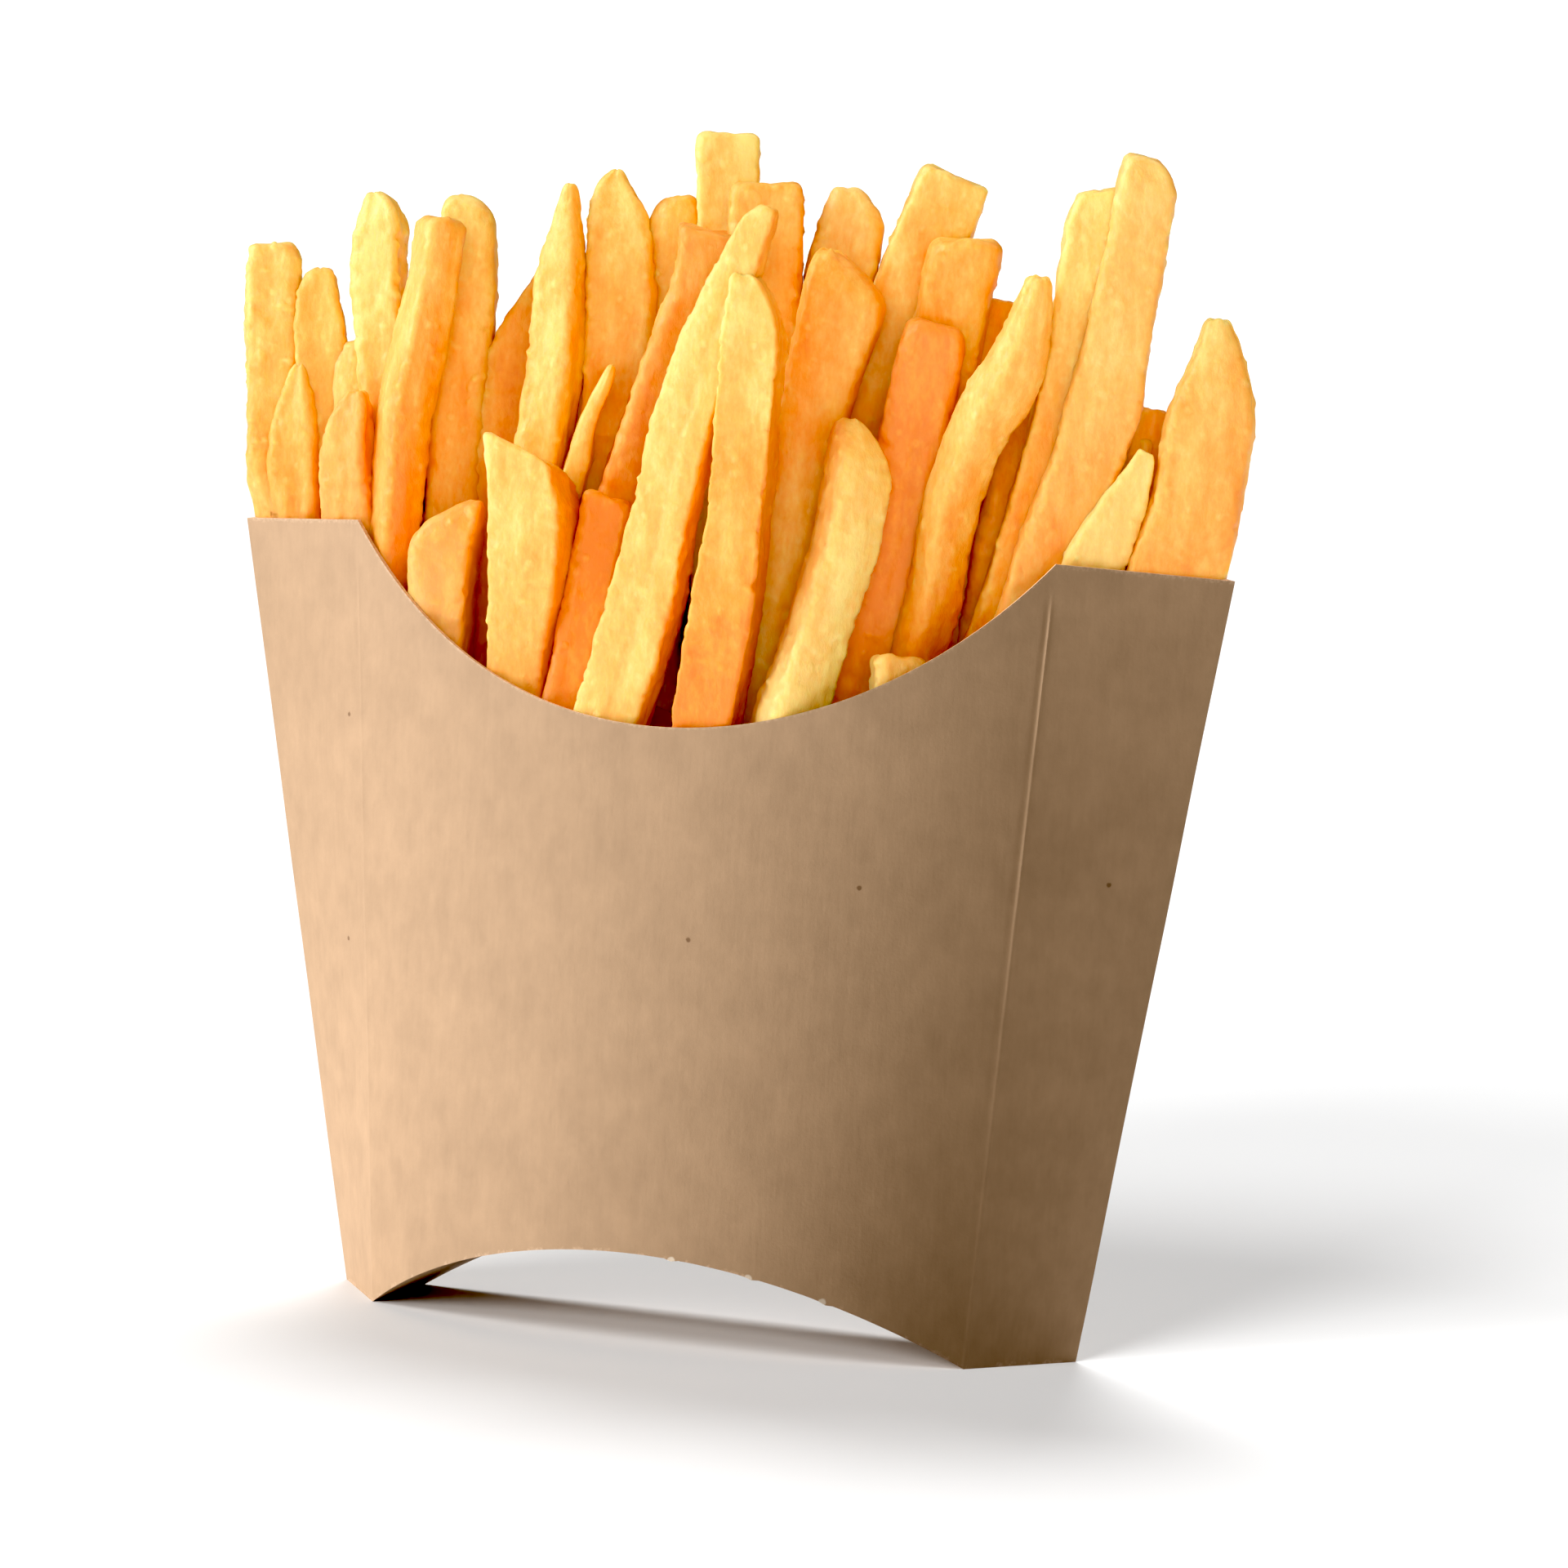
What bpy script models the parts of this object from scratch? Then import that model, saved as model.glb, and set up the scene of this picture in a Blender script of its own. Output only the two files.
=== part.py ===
"""French fries in a folded kraft carton.

The carton is one piece of board: a front panel that bulges forward between two upright folds, a narrow flat
side strip behind each fold, a back panel that bulges backwards, and an arched base. It stands on the two flat
corners of the base. The fries are one solid heap out to the outline of every stick that shows.

Frame: +Z up, the front faces -Y, +X to the right seen from the front. The origin is under the middle of the
whole, on the surface that it stands on. Sizes below are in millimetres and are turned into metres at the end.
"""

from math import asin, cos, radians, sin, sqrt
from random import Random

import bmesh
import bpy
from mathutils import Vector

MM = 0.001

# Carton: half widths, depths and heights of its folds.
BOARD = 0.5
FRONT_Y = -6.6
FRONT_FOOT_X = 39.6
FRONT_TOP_X = 46.2
FRONT_TOP_SETBACK = 0.55
FRONT_TOP_Z = 98.1
BACK_FOOT_X = 49.5
BACK_FOOT_Y = FRONT_Y + 13.1
BACK_TOP_X = 65.9
BACK_TOP_Y = FRONT_Y + 9.2
BACK_TOP_Z = 97.0
FRONT_FOOT_BULGE = 13.7
FRONT_TOP_BULGE = 10.3
BACK_FOOT_BULGE = 7.0
BACK_TOP_BULGE = 17.0
BACK_EDGE_RISE = 4.0
BASE_ARCH_RISE = 12.0
SCOOP_LOW_Z = 76.0
SCOOP_HALF_LENGTH = 47.6

PANEL_COLUMNS = 22
CORNER_COLUMNS = 3
PANEL_ROWS = 6
BASE_ROWS = 4

# Heap: its core fills the carton up to the lowest sticks that show.
WALL_MARGIN = 1.15
STICK_MARGIN_STEP = 0.01
CORE_MARGIN = WALL_MARGIN + 0.7
CORE_FLOOR_GAP = BOARD + 1.35
CORE_TOP_Z = 92.0
CORE_DIP = 20.0
CORE_CORNER = 5.5
CORE_COLUMNS = 14
CORE_LEVELS = 4

# Sticks: their feet end inside the core, and they keep off the walls until they are well clear of the rim.
STICK_FOOT_Z = 66.0
FOOT_TUCK = 3.0
CORNER_CLEAR = 3.5
LARGEST_CLEAR_SHARE = 0.35
RIM_REACH_Z = 112.0
STICK_CORNER = 1.3
TAPER_CURVE = 1.6
THIN_TIP_SHARE = 0.55
LONGEST_TAPER_START = 0.45

# Rear row: plain sticks side by side along the back panel.
REAR_COUNT = 12
REAR_HALF_LENGTH = 49.0
REAR_FOOT_Z = 90.0
REAR_LEAN = 0.06
REAR_WALL_GAP = 5.0
REAR_SEED = 11

# Each stick: (foot x, y, z), (tip x, y, z), width, thickness, turn about its own length in degrees, sideways
# bow, length of the tapered end, share of the width left at the tip, which edge stays straight (-1 left, 1
# right, 0 neither), and how much higher the cut end is at its right edge.
STICKS = [
    # front row, standing in the scoop
    ((-34.0, -7.5, 82), (-34.5, -5.5, 101), 7.2, 7.2, 0, 0.0, 8, 0.35, 0.9, 0),
    ((-21.0, -9.5, 75), (-21.0, -10.5, 109), 9.2, 8.2, 0, 0.0, 1, 0.95, 0.0, -2),
    ((-7.0, -13.0, 76), (11.0, -15.5, 139), 8.2, 5.5, 2, -2.2, 33, 0.22, 0.0, 0),
    ((4.0, -13.0, 76), (9.0, -16.5, 131), 7.0, 6.3, 5, 2.2, 9, 0.50, -0.7, 0),
    ((13.5, -11.5, 76), (20.0, -8.5, 114), 7.0, 6.0, 55, 3.0, 5, 0.50, -0.3, 0),
    ((28.0, -8.0, 77), (27.5, -8.0, 86), 6.6, 5.0, 21, 0.0, 1, 0.85, 0.0, -1),
    ((-16.5, -7.5, 103), (-11.0, -10.5, 119), 2.0, 4.0, 21, -0.3, 6, 0.45, 0.5, 0),
    ((-45.0, -5.0, 92), (-48.0, -6.5, 114), 6.6, 4.5, 21, -1.2, 4, 0.60, 0.6, 0),
    # middle row
    ((-57.0, -0.5, 96), (-58.5, 0.5, 117), 6.6, 4.5, 21, 0.0, 8, 0.30, 1.0, 0),
    ((-41.5, -3.0, 96), (-38.0, -2.5, 136), 5.6, 7.6, 60, -0.8, 1, 0.92, 0.0, 0),
    ((-24.0, -2.5, 99), (-21.5, -0.5, 141), 6.4, 6.5, 0, 0.8, 11, 0.20, 0.2, 0),
    ((-16.5, -5.0, 79), (-13.5, -2.5, 103), 6.5, 6.0, 21, 0.0, 1, 0.90, 0.0, -1),
    ((-15.5, -1.5, 97), (-1.0, -4.5, 136), 8.0, 6.0, 21, 2.2, 1, 0.92, 0.0, 0),
    ((4.5, -0.5, 103), (4.0, 0.5, 142), 8.6, 7.0, 21, 0.8, 1, 0.92, 0.0, 0),
    ((7.5, -3.0, 88), (15.5, -3.5, 134), 8.8, 6.5, 21, 1.0, 6, 0.50, -0.5, 0),
    ((20.5, -2.0, 86), (28.5, -2.5, 126), 8.0, 6.0, 21, 0.0, 1, 0.80, 0.0, 0),
    ((29.5, -2.0, 85), (43.0, -6.5, 132), 6.2, 5.6, 55, -3.0, 7, 0.45, 0.5, 0),
    ((39.5, 0.5, 91), (53.5, -0.5, 147), 7.6, 7.0, 21, 2.8, 2, 0.70, -0.4, 0),
    ((49.5, -1.5, 98), (56.0, -1.5, 110), 7.6, 3.5, 21, 0.0, 10, 0.18, 0.7, 0),
    # back rows
    ((-61.5, 2.0, 97), (-64.0, 3.5, 132), 7.3, 6.0, 21, 0.0, 3, 0.60, 0.0, 0),
    ((-55.0, 4.5, 97), (-58.5, 5.5, 129), 6.8, 6.0, 21, 0.0, 12, 0.55, -1.0, 0),
    ((-43.5, 2.5, 98), (-50.0, 4.5, 139), 7.0, 6.5, 5, -1.6, 8, 0.35, 0.2, 0),
    ((-37.5, 3.5, 98), (-38.0, 5.5, 139), 7.2, 7.0, 21, 0.6, 2, 0.55, -0.5, 1),
    ((-31.0, 5.5, 98), (-29.5, 7.5, 131), 7.0, 6.0, 21, 0.0, 8, 0.20, 1.0, 0),
    ((-17.0, 3.5, 99), (-17.5, 4.5, 143), 8.2, 7.0, 21, 0.4, 6, 0.40, -0.4, 0),
    ((-10.5, 6.5, 100), (-10.5, 7.5, 140), 6.8, 6.0, 21, 0.0, 2, 0.70, 0.5, 0),
    ((-2.0, 6.5, 100), (-3.5, 6.5, 148), 7.8, 7.0, 21, 0.0, 1, 0.95, 0.0, 0),
    ((11.0, 5.5, 100), (12.5, 6.5, 142), 7.8, 6.5, 21, 0.0, 5, 0.50, -0.5, 0),
    ((13.0, 4.5, 100), (27.0, 5.5, 144), 8.4, 7.0, 21, -1.0, 1, 0.88, 0.0, -1),
    ((24.0, 3.5, 100), (30.0, 1.5, 136), 8.4, 6.0, 21, 0.0, 1, 0.95, 0.0, 1),
    ((30.0, 5.5, 100), (32.0, 7.5, 129), 7.0, 6.0, 21, 0.0, 1, 0.95, 0.0, 0),
    ((34.0, 2.5, 89), (47.0, -0.5, 143), 6.6, 7.0, 21, 2.8, 2, 0.75, 0.0, 1),
    ((60.0, 2.0, 96), (62.0, 2.5, 128), 10.6, 5.0, 21, 0.8, 13, 0.22, 0.0, 0),
    ((51.0, 4.5, 97), (53.5, 5.5, 117), 6.0, 5.0, 21, 0.0, 1, 0.90, 0.0, 0),
]


def mix(low, high, share):
    """The value a given share of the way from low to high."""
    return low + (high - low) * share


def bow_arc(half_width, bulge):
    """Radius and half angle of the arc with this half width and bulge."""
    radius = (half_width**2 + bulge**2) / (2 * bulge)
    return radius, asin(min(1.0, half_width / radius))


def front_wall(z):
    """Half width, depth of the folds and bulge of the front panel at height z."""
    up = z / FRONT_TOP_Z
    return (
        mix(FRONT_FOOT_X, FRONT_TOP_X, up),
        FRONT_Y + FRONT_TOP_SETBACK * up,
        mix(FRONT_FOOT_BULGE, FRONT_TOP_BULGE, up),
    )


def back_wall(z):
    """Half width, depth of the corners and bulge of the back panel at height z."""
    up = z / BACK_TOP_Z
    return (
        mix(BACK_FOOT_X, BACK_TOP_X, up),
        mix(BACK_FOOT_Y, BACK_TOP_Y, up),
        mix(BACK_FOOT_BULGE, BACK_TOP_BULGE, up),
    )


def wall_point(wall, side, s, z):
    """Point on a bulging panel. s is -1 at its left edge, 1 at its right; side is -1 in front, 1 behind."""
    half_width, y, bulge = wall(z)
    radius, angle = bow_arc(half_width, bulge)
    return Vector((radius * sin(s * angle), y + side * radius * (cos(s * angle) - cos(angle)), z))


def base_arch(x):
    """Height of the arched base above the surface, at distance x from the middle."""
    radius, _ = bow_arc(FRONT_FOOT_X, BASE_ARCH_RISE)
    inside = min(abs(x), FRONT_FOOT_X)
    return sqrt(radius**2 - inside**2) - (radius - BASE_ARCH_RISE)


def scoop_edge(s):
    """Height of the front panel's scooped top edge: an arc in the flat board."""
    radius, _ = bow_arc(SCOOP_HALF_LENGTH, FRONT_TOP_Z - SCOOP_LOW_Z)
    return SCOOP_LOW_Z + radius - sqrt(radius**2 - (s * SCOOP_HALF_LENGTH) ** 2)


def back_share(x, z):
    """The back panel's s at this x and height."""
    half_width, _, bulge = back_wall(z)
    radius, angle = bow_arc(half_width, bulge)
    return asin(max(-1.0, min(1.0, x / radius))) / angle


def column(wall, side, s, low, high):
    """Points up one panel from height low to height high."""
    return [wall_point(wall, side, s, mix(low, high, row / PANEL_ROWS)) for row in range(PANEL_ROWS + 1)]


def carton_columns():
    """Columns of points round the carton, from the left fold across the front and back round to it."""
    columns = []
    for i in range(PANEL_COLUMNS + 1):
        s = -1 + 2 * i / PANEL_COLUMNS
        foot_x = wall_point(front_wall, -1, s, 0).x
        columns.append(column(front_wall, -1, s, base_arch(foot_x), scoop_edge(s)))
    foot_xs = [points[0].x for points in columns]

    corner_xs = [mix(BACK_FOOT_X, FRONT_FOOT_X, i / CORNER_COLUMNS) for i in range(CORNER_COLUMNS)]
    back_xs = corner_xs + foot_xs[::-1] + [-x for x in corner_xs[::-1]]
    for x in back_xs:
        low = base_arch(x)
        s = back_share(x, low)
        columns.append(column(back_wall, 1, s, low, BACK_TOP_Z + BACK_EDGE_RISE * (1 - s**2)))
    return columns


def grid_faces(bm, rows):
    """Quads between neighbouring rows of points; points in one place are merged later."""
    grid = [[bm.verts.new(point) for point in row] for row in rows]
    for row, following in zip(grid, grid[1:]):
        for i in range(len(row) - 1):
            bm.faces.new((row[i], following[i], following[i + 1], row[i + 1]))


def carton_sheet(bm):
    """The board's outer skin: walls, arched base and the two flat corners."""
    columns = carton_columns()
    grid_faces(bm, columns + [columns[0]])

    across = PANEL_COLUMNS + 1
    front_feet = [points[0] for points in columns[:across]]
    back_columns = columns[across + CORNER_COLUMNS : 2 * across + CORNER_COLUMNS]
    back_feet = [points[0] for points in back_columns][::-1]
    base = []
    for near, far in zip(front_feet, back_feet):
        base.append([near.lerp(far, row / BASE_ROWS) for row in range(BASE_ROWS + 1)])
    grid_faces(bm, base)

    right_corner = [points[0] for points in columns[across : across + CORNER_COLUMNS]]
    left_corner = [points[0] for points in columns[2 * across + CORNER_COLUMNS :]]
    bm.faces.new([bm.verts.new(p) for p in right_corner + base[-1][::-1]])
    bm.faces.new([bm.verts.new(p) for p in left_corner[::-1] + base[0][::-1]])

    bmesh.ops.remove_doubles(bm, verts=bm.verts, dist=0.01)
    bmesh.ops.recalc_face_normals(bm, faces=bm.faces)


def material(name, colour, roughness):
    made = bpy.data.materials.new(name)
    made.use_nodes = True
    shader = made.node_tree.nodes["Principled BSDF"]
    shader.inputs["Base Color"].default_value = (*colour, 1.0)
    shader.inputs["Roughness"].default_value = roughness
    shader.inputs["Metallic"].default_value = 0.0
    return made


def add_object(name, bm, finish=None):
    """Puts the mesh, scaled to metres, into the scene as a named object."""
    bmesh.ops.scale(bm, vec=(MM, MM, MM), verts=bm.verts)
    mesh = bpy.data.meshes.new(name)
    bm.to_mesh(mesh)
    bm.free()
    made = bpy.data.objects.new(name, mesh)
    bpy.context.scene.collection.objects.link(made)
    if finish:
        mesh.materials.append(finish)
    return made


def make_carton(finish):
    bm = bmesh.new()
    carton_sheet(bm)
    carton = add_object("carton", bm, finish)
    board = carton.modifiers.new("Board", "SOLIDIFY")
    board.thickness = BOARD * MM
    board.offset = -1.0
    board.use_even_offset = True
    return carton


def wall_limits(x, z):
    """Depths of the inner faces in front of and behind a point, and the half width there."""
    half_front, fold_y, front_bulge = front_wall(z)
    half_back, corner_y, back_bulge = back_wall(z)
    inside = half_back - CORNER_CLEAR
    x = max(-inside, min(inside, x))
    radius, _ = bow_arc(half_back, back_bulge)
    behind = corner_y + sqrt(radius**2 - x**2) - (radius - back_bulge)
    if abs(x) < half_front:
        radius, _ = bow_arc(half_front, front_bulge)
        ahead = fold_y - sqrt(radius**2 - x**2) + (radius - front_bulge)
    else:
        ahead = mix(fold_y, corner_y, (abs(x) - half_front) / (half_back - half_front))
    return ahead, behind, inside


def rear_sticks():
    """The row of sticks behind the others, in the same terms as STICKS."""
    chance = Random(REAR_SEED)
    sticks = []
    for i in range(REAR_COUNT):
        x = mix(-REAR_HALF_LENGTH, REAR_HALF_LENGTH, i / (REAR_COUNT - 1))
        y = wall_limits(x, REAR_FOOT_Z)[1] - REAR_WALL_GAP
        tip_x = x + REAR_LEAN * x + chance.uniform(-2, 2)
        tip_z = chance.uniform(110, 128)
        width = chance.uniform(7.0, 8.0)
        taper = chance.uniform(2, 8)
        tip_share = chance.uniform(0.55, 0.95)
        foot = (x, y, REAR_FOOT_Z)
        tip = (tip_x, y + 1.0, tip_z)
        sticks.append((foot, tip, width, 6.4, -0.2 * x, chance.uniform(-1, 1), taper, tip_share, 0.0, 0))
    return sticks


def keep_inside(ring, margin, tuck):
    """Moves a ring that would cut a wall inwards as a whole, and flattens what still does not fit."""
    highest = max(point.z for point in ring)
    if highest < BACK_TOP_Z + 2 * CORNER_CLEAR:
        for point in ring:
            inside = wall_limits(point.x, point.z)[2] - tuck
            point.x = max(-inside, min(inside, point.x))
    if highest < RIM_REACH_Z:
        limits = [wall_limits(point.x, point.z) for point in ring]
        narrowest = min(behind - ahead for ahead, behind, _ in limits)
        clear = max(margin, min(margin + tuck, LARGEST_CLEAR_SHARE * narrowest))
        from_front = max(ahead + clear - point.y for point, (ahead, _, _) in zip(ring, limits))
        from_back = min(behind - clear - point.y for point, (_, behind, _) in zip(ring, limits))
        move = max(0.0, from_front) + min(0.0, from_back)
        for point, (ahead, behind, _) in zip(ring, limits):
            point.y = max(ahead + clear, min(behind - clear, point.y + move))
    return ring


def loft_sides(bm, rings):
    """Quads from ring to ring. Returns the rows of corners."""
    rows = [[bm.verts.new(point) for point in ring] for ring in rings]
    count = len(rows[0])
    for row, following in zip(rows, rows[1:]):
        for i in range(count):
            j = (i + 1) % count
            bm.faces.new((row[i], row[j], following[j], following[i]))
    return rows


def core_ring(share):
    """One level of the core: along the front wall to the right, then back along the back panel."""
    half_width = mix(BACK_FOOT_X, BACK_TOP_X, share * CORE_TOP_Z / BACK_TOP_Z) - CORE_CORNER
    ring = []
    for side in (-1, 1):
        for i in range(CORE_COLUMNS + 1):
            across = -side * (-1 + 2 * i / CORE_COLUMNS)
            x = half_width * across
            floor = base_arch(x) + CORE_FLOOR_GAP
            z = mix(floor, CORE_TOP_Z - CORE_DIP * (1 - across**2), share)
            ahead, behind, _ = wall_limits(x, z)
            y = ahead + CORE_MARGIN if side < 0 else behind - CORE_MARGIN
            ring.append(Vector((x, y, z)))
    return ring


def add_core(bm):
    """The packed fries inside the carton, a little smaller than its inside all round."""
    rows = loft_sides(bm, [core_ring(level / CORE_LEVELS) for level in range(CORE_LEVELS + 1)])
    count = len(rows[0])
    for row in (rows[0], rows[-1]):
        for i in range(CORE_COLUMNS):
            bm.faces.new((row[i], row[i + 1], row[count - 2 - i], row[count - 1 - i]))
    bmesh.ops.recalc_face_normals(bm, faces=bm.faces)


def stick_rings(margin, foot, tip, width, thickness, turn, bow, taper, tip_share, straight, rise):
    """Outlines up one stick, each a rectangle with its corners cut off."""
    tip = Vector(tip)
    axis = (tip - Vector(foot)).normalized()
    foot = tip - axis * ((tip.z - STICK_FOOT_Z) / axis.z)
    length = (tip - foot).length
    sideways = Vector((0, 1, 0)).cross(axis).normalized()
    middle = (foot + tip) / 2 + sideways * 2 * bow
    taper_start = max(LONGEST_TAPER_START, 1 - taper / length)
    rim = (BACK_TOP_Z + BACK_EDGE_RISE - foot.z) / (tip.z - foot.z)
    shares = [0.0, min(rim, 0.8 * taper_start), taper_start, mix(taper_start, 1.0, 0.6), 1.0]
    rings = []
    for share in shares:
        centre = foot * (1 - share) ** 2 + middle * 2 * share * (1 - share) + tip * share**2
        along = ((middle - foot) * (1 - share) + (tip - middle) * share).normalized()
        right = Vector((0, 1, 0)).cross(along).normalized()
        forward = right.cross(along)
        angle = radians(turn)
        across = right * cos(angle) - forward * sin(angle)
        deep = forward * cos(angle) + right * sin(angle)
        from_tip = min(1.0, (1 - share) * length / taper)
        half = width / 2 * mix(1.0, tip_share, (1 - from_tip) ** TAPER_CURVE)
        thick = thickness / 2
        if tip_share < 0.5:
            thick *= mix(THIN_TIP_SHARE, 1.0, from_tip)
        cut = min(STICK_CORNER, half / 2, thick / 2)
        shift = straight * (width / 2 - half)
        near_tip = max(0.0, 1 - (1 - share) * length / (1.5 * width))
        corners = ((half, thick - cut), (half - cut, thick))
        ring = []
        for x_sign, y_sign, order in ((1, 1, 1), (-1, 1, -1), (-1, -1, 1), (1, -1, -1)):
            for x, y in corners[::order]:
                lift = rise * near_tip * x_sign * x / width
                ring.append(centre + across * (x_sign * x + shift) + deep * y_sign * y + along * lift)
        rings.append(keep_inside(ring, margin, FOOT_TUCK if share == 0 else 0.0))
    return rings


def add_stick(bm, rings):
    """One stick, closed with a flat face at each end."""
    rows = loft_sides(bm, rings)
    bm.faces.new(rows[0])
    bm.faces.new(rows[-1])
    bmesh.ops.recalc_face_normals(bm, faces=bm.faces)


def make_fries(finish):
    """The heap: the core joined with every stick."""
    bm = bmesh.new()
    add_core(bm)
    fries = add_object("fries", bm, finish)
    for number, stick in enumerate(STICKS + rear_sticks()):
        bm = bmesh.new()
        add_stick(bm, stick_rings(WALL_MARGIN + STICK_MARGIN_STEP * number, *stick))
        cutter = add_object(f"stick_{number}", bm)
        cutter.hide_render = True
        cutter.display_type = "WIRE"
        union = fries.modifiers.new(f"Stick {number}", "BOOLEAN")
        union.operation = "UNION"
        union.solver = "MANIFOLD"
        union.object = cutter
    return fries


def main():
    for old in list(bpy.data.objects):
        bpy.data.objects.remove(old, do_unlink=True)
    make_carton(material("kraft_board", (0.71, 0.49, 0.30), 0.75))
    make_fries(material("fried_potato", (0.93, 0.58, 0.15), 0.5))


main()
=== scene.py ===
"""The looks of french fries in a kraft carton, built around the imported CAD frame.

Sizes are in millimetres in the frame's axes, and are turned into metres as each mesh is made: +Z is up,
the scooped front faces -Y, and +X is to the right seen from the front. The carton is laid out again from
its folds, fine enough for its crease, its cut edges and the nicks of its die. Each fry is a bent bar of
rounded section, with an outline, a cut end, a tone and a skin of its own.
"""

from math import asin, cos, pi, radians, sin, sqrt
from random import Random

import bmesh
import bpy
import numpy as np
from mathutils import Matrix, Vector, noise


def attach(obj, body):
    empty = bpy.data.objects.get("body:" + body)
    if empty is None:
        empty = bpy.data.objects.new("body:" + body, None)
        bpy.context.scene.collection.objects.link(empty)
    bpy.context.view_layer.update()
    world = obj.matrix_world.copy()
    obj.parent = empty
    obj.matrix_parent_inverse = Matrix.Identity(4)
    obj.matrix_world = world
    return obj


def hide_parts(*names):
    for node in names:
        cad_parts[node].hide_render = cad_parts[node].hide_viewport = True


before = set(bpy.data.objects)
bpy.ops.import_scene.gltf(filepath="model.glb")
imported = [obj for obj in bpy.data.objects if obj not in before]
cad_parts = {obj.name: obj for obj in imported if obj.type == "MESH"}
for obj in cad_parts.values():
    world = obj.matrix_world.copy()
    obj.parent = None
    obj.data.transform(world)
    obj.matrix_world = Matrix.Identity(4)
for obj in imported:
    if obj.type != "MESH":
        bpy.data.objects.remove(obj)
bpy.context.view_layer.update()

MM = 0.001

# Carton: the folds, the same as the CAD model's.
BOARD = 0.5
FRONT_Y = -6.6
FRONT_FOOT_X = 39.6
FRONT_TOP_X = 46.2
FRONT_TOP_SETBACK = 0.55
FRONT_TOP_Z = 98.1
BACK_FOOT_X = 49.5
BACK_FOOT_Y = FRONT_Y + 13.1
BACK_TOP_X = 65.9
BACK_TOP_Y = FRONT_Y + 9.2
BACK_TOP_Z = 97.0
FRONT_FOOT_BULGE = 13.7
FRONT_TOP_BULGE = 10.3
BACK_FOOT_BULGE = 7.0
BACK_TOP_BULGE = 17.0
BACK_EDGE_RISE = 4.0
BASE_ARCH_RISE = 12.0
SCOOP_LOW_Z = 76.0
SCOOP_HALF_LENGTH = 47.6

# Carton: the steps of its mesh, which are finest beside the two folds of the front.
PANEL_STEP = 1.0
CREASE_STEP = 0.1
CREASE_REACH = 1.5
PANEL_ROWS = 70
STRIP_STEP = 1.4
BASE_ROWS = 14
CORNER_COLUMNS = 7
WELD_DISTANCE = 0.01
SHARP_FOLD = radians(22)

# Carton: how far the scored crease stands out, and the groove beside it. The left one is pressed less.
CREASE_RIDGE = 0.14
CREASE_WIDTH = 0.24
CREASE_GROOVE = 0.09
GROOVE_WIDTH = 0.5
GROOVE_OFFSET = 0.6
CREASE_TOP_GAP = 3.6
CREASE_FOOT_SHARE = 0.35
CREASE_MEAN = 0.75
CREASE_CHANGE = 0.5
CREASE_CHANGE_SCALE = 0.09
CREASE_COLUMNS = 40
LEFT_CREASE = 0.25
RIGHT_CREASE = 1.0

# Carton: its slight waviness, its worn edges and crease, and the nicks that the die leaves on the arch.
BOARD_WAVE = 0.10
WAVE_SCALE = 0.045
WAVE_START_Z = 1.0
WAVE_FULL_Z = 8.0
WEAR_REACH = 0.9
RIM_WEAR = 0.9
CREASE_WEAR = 7.0
NICKS = (6.0, 15.5, 24.2)
NICK_DROP = 0.25
NICK_WIDTH = 0.5

# Fries: where their hidden ends stop and how they keep off the board.
FOOT_DEPTH = 10.0
WALL_MARGIN = 0.65
CORNER_CLEAR = 1.1
RIM_FADE = 6.0
SHIFT_FADE = 14.0

# Fries: the distance between the rings of one stick: finer in front, and coarser where little shows.
RING_STEP = 0.4
FINE_STEP = 0.28
COARSE_STEP = 1.0

# Fries: the form of one stick. Its cut slants over CUT_REACH widths, and its end is rounded over END_ROUND.
PROFILE_STEP = 0.25
PROFILE_BLUR = 9
DEPTH_POWER = 0.8
END_ROUND = 0.9
END_SHARE = 0.4
END_RINGS = 6
END_TURN = 0.9
CUT_REACH = 1.5
CORNER_RADIUS = 1.1
CORNER_SPREAD = (0.6, 1.6)
CORNER_LIMIT = 0.7
ARC_POINTS = 5
FACE_POINTS = 9

# Fries: the relief of the skin. A size is that of its lumps, and a height is how far they stand out.
# There is less of it where a stick is slimmer than SLIM_HALF_WIDTH. A groove starts and is full at these
# distances down from the tip.
CROWN_SPREAD = (-0.25, 0.35)
LUMP_SIZE = 8.0
LUMP_HEIGHT = 0.26
STREAK_SIZE = 1.5
STREAK_LENGTH = 6.0
STREAK_HEIGHT = 0.13
PEBBLE_SIZE = 1.7
PEBBLE_HEIGHT = 0.2
BLISTER_SIZE = 1.3
BLISTER_LEVEL = 0.3
BLISTER_HEIGHT = 0.55
DENT_SIZE = 1.0
DENT_LEVEL = -0.15
DENT_DEPTH = 0.6
SLIM_HALF_WIDTH = 3
GROOVE_SHARE = 0.16
GROOVE_START = 3.0
GROOVE_FULL = 16.0

# Fries: how the tone changes over one stick.
# SIDE_POWER shapes the painted shade on a stick's right and left faces: how fast their tone deepens as a
# face turns to the side.
SIDE_POWER = 1.5
TONE_CHANGE = 0.16
PATCH_SIZE = 11.0
PATCH_LENGTH = 2.0
FIBRE_SIZE = 2.6
FIBRE_LENGTH = 7.0
BLISTER_PALER = 0.6
STREAK_PALER = 0.5
RAW_FADE = 0.7

# Rear row: plain sticks side by side along the back panel.
REAR_COUNT = 12
REAR_HALF_LENGTH = 49.0
REAR_FOOT_Z = 90.0
REAR_TIP_Z = (110, 128)
REAR_WIDTH = (7.0, 8.0)
REAR_DEPTH = 6.4
REAR_TONE = (0.15, 0.6)
REAR_LEAN = 0.06
REAR_TURN = -0.2
REAR_WALL_GAP = 5.0
REAR_SEED = 11

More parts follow.
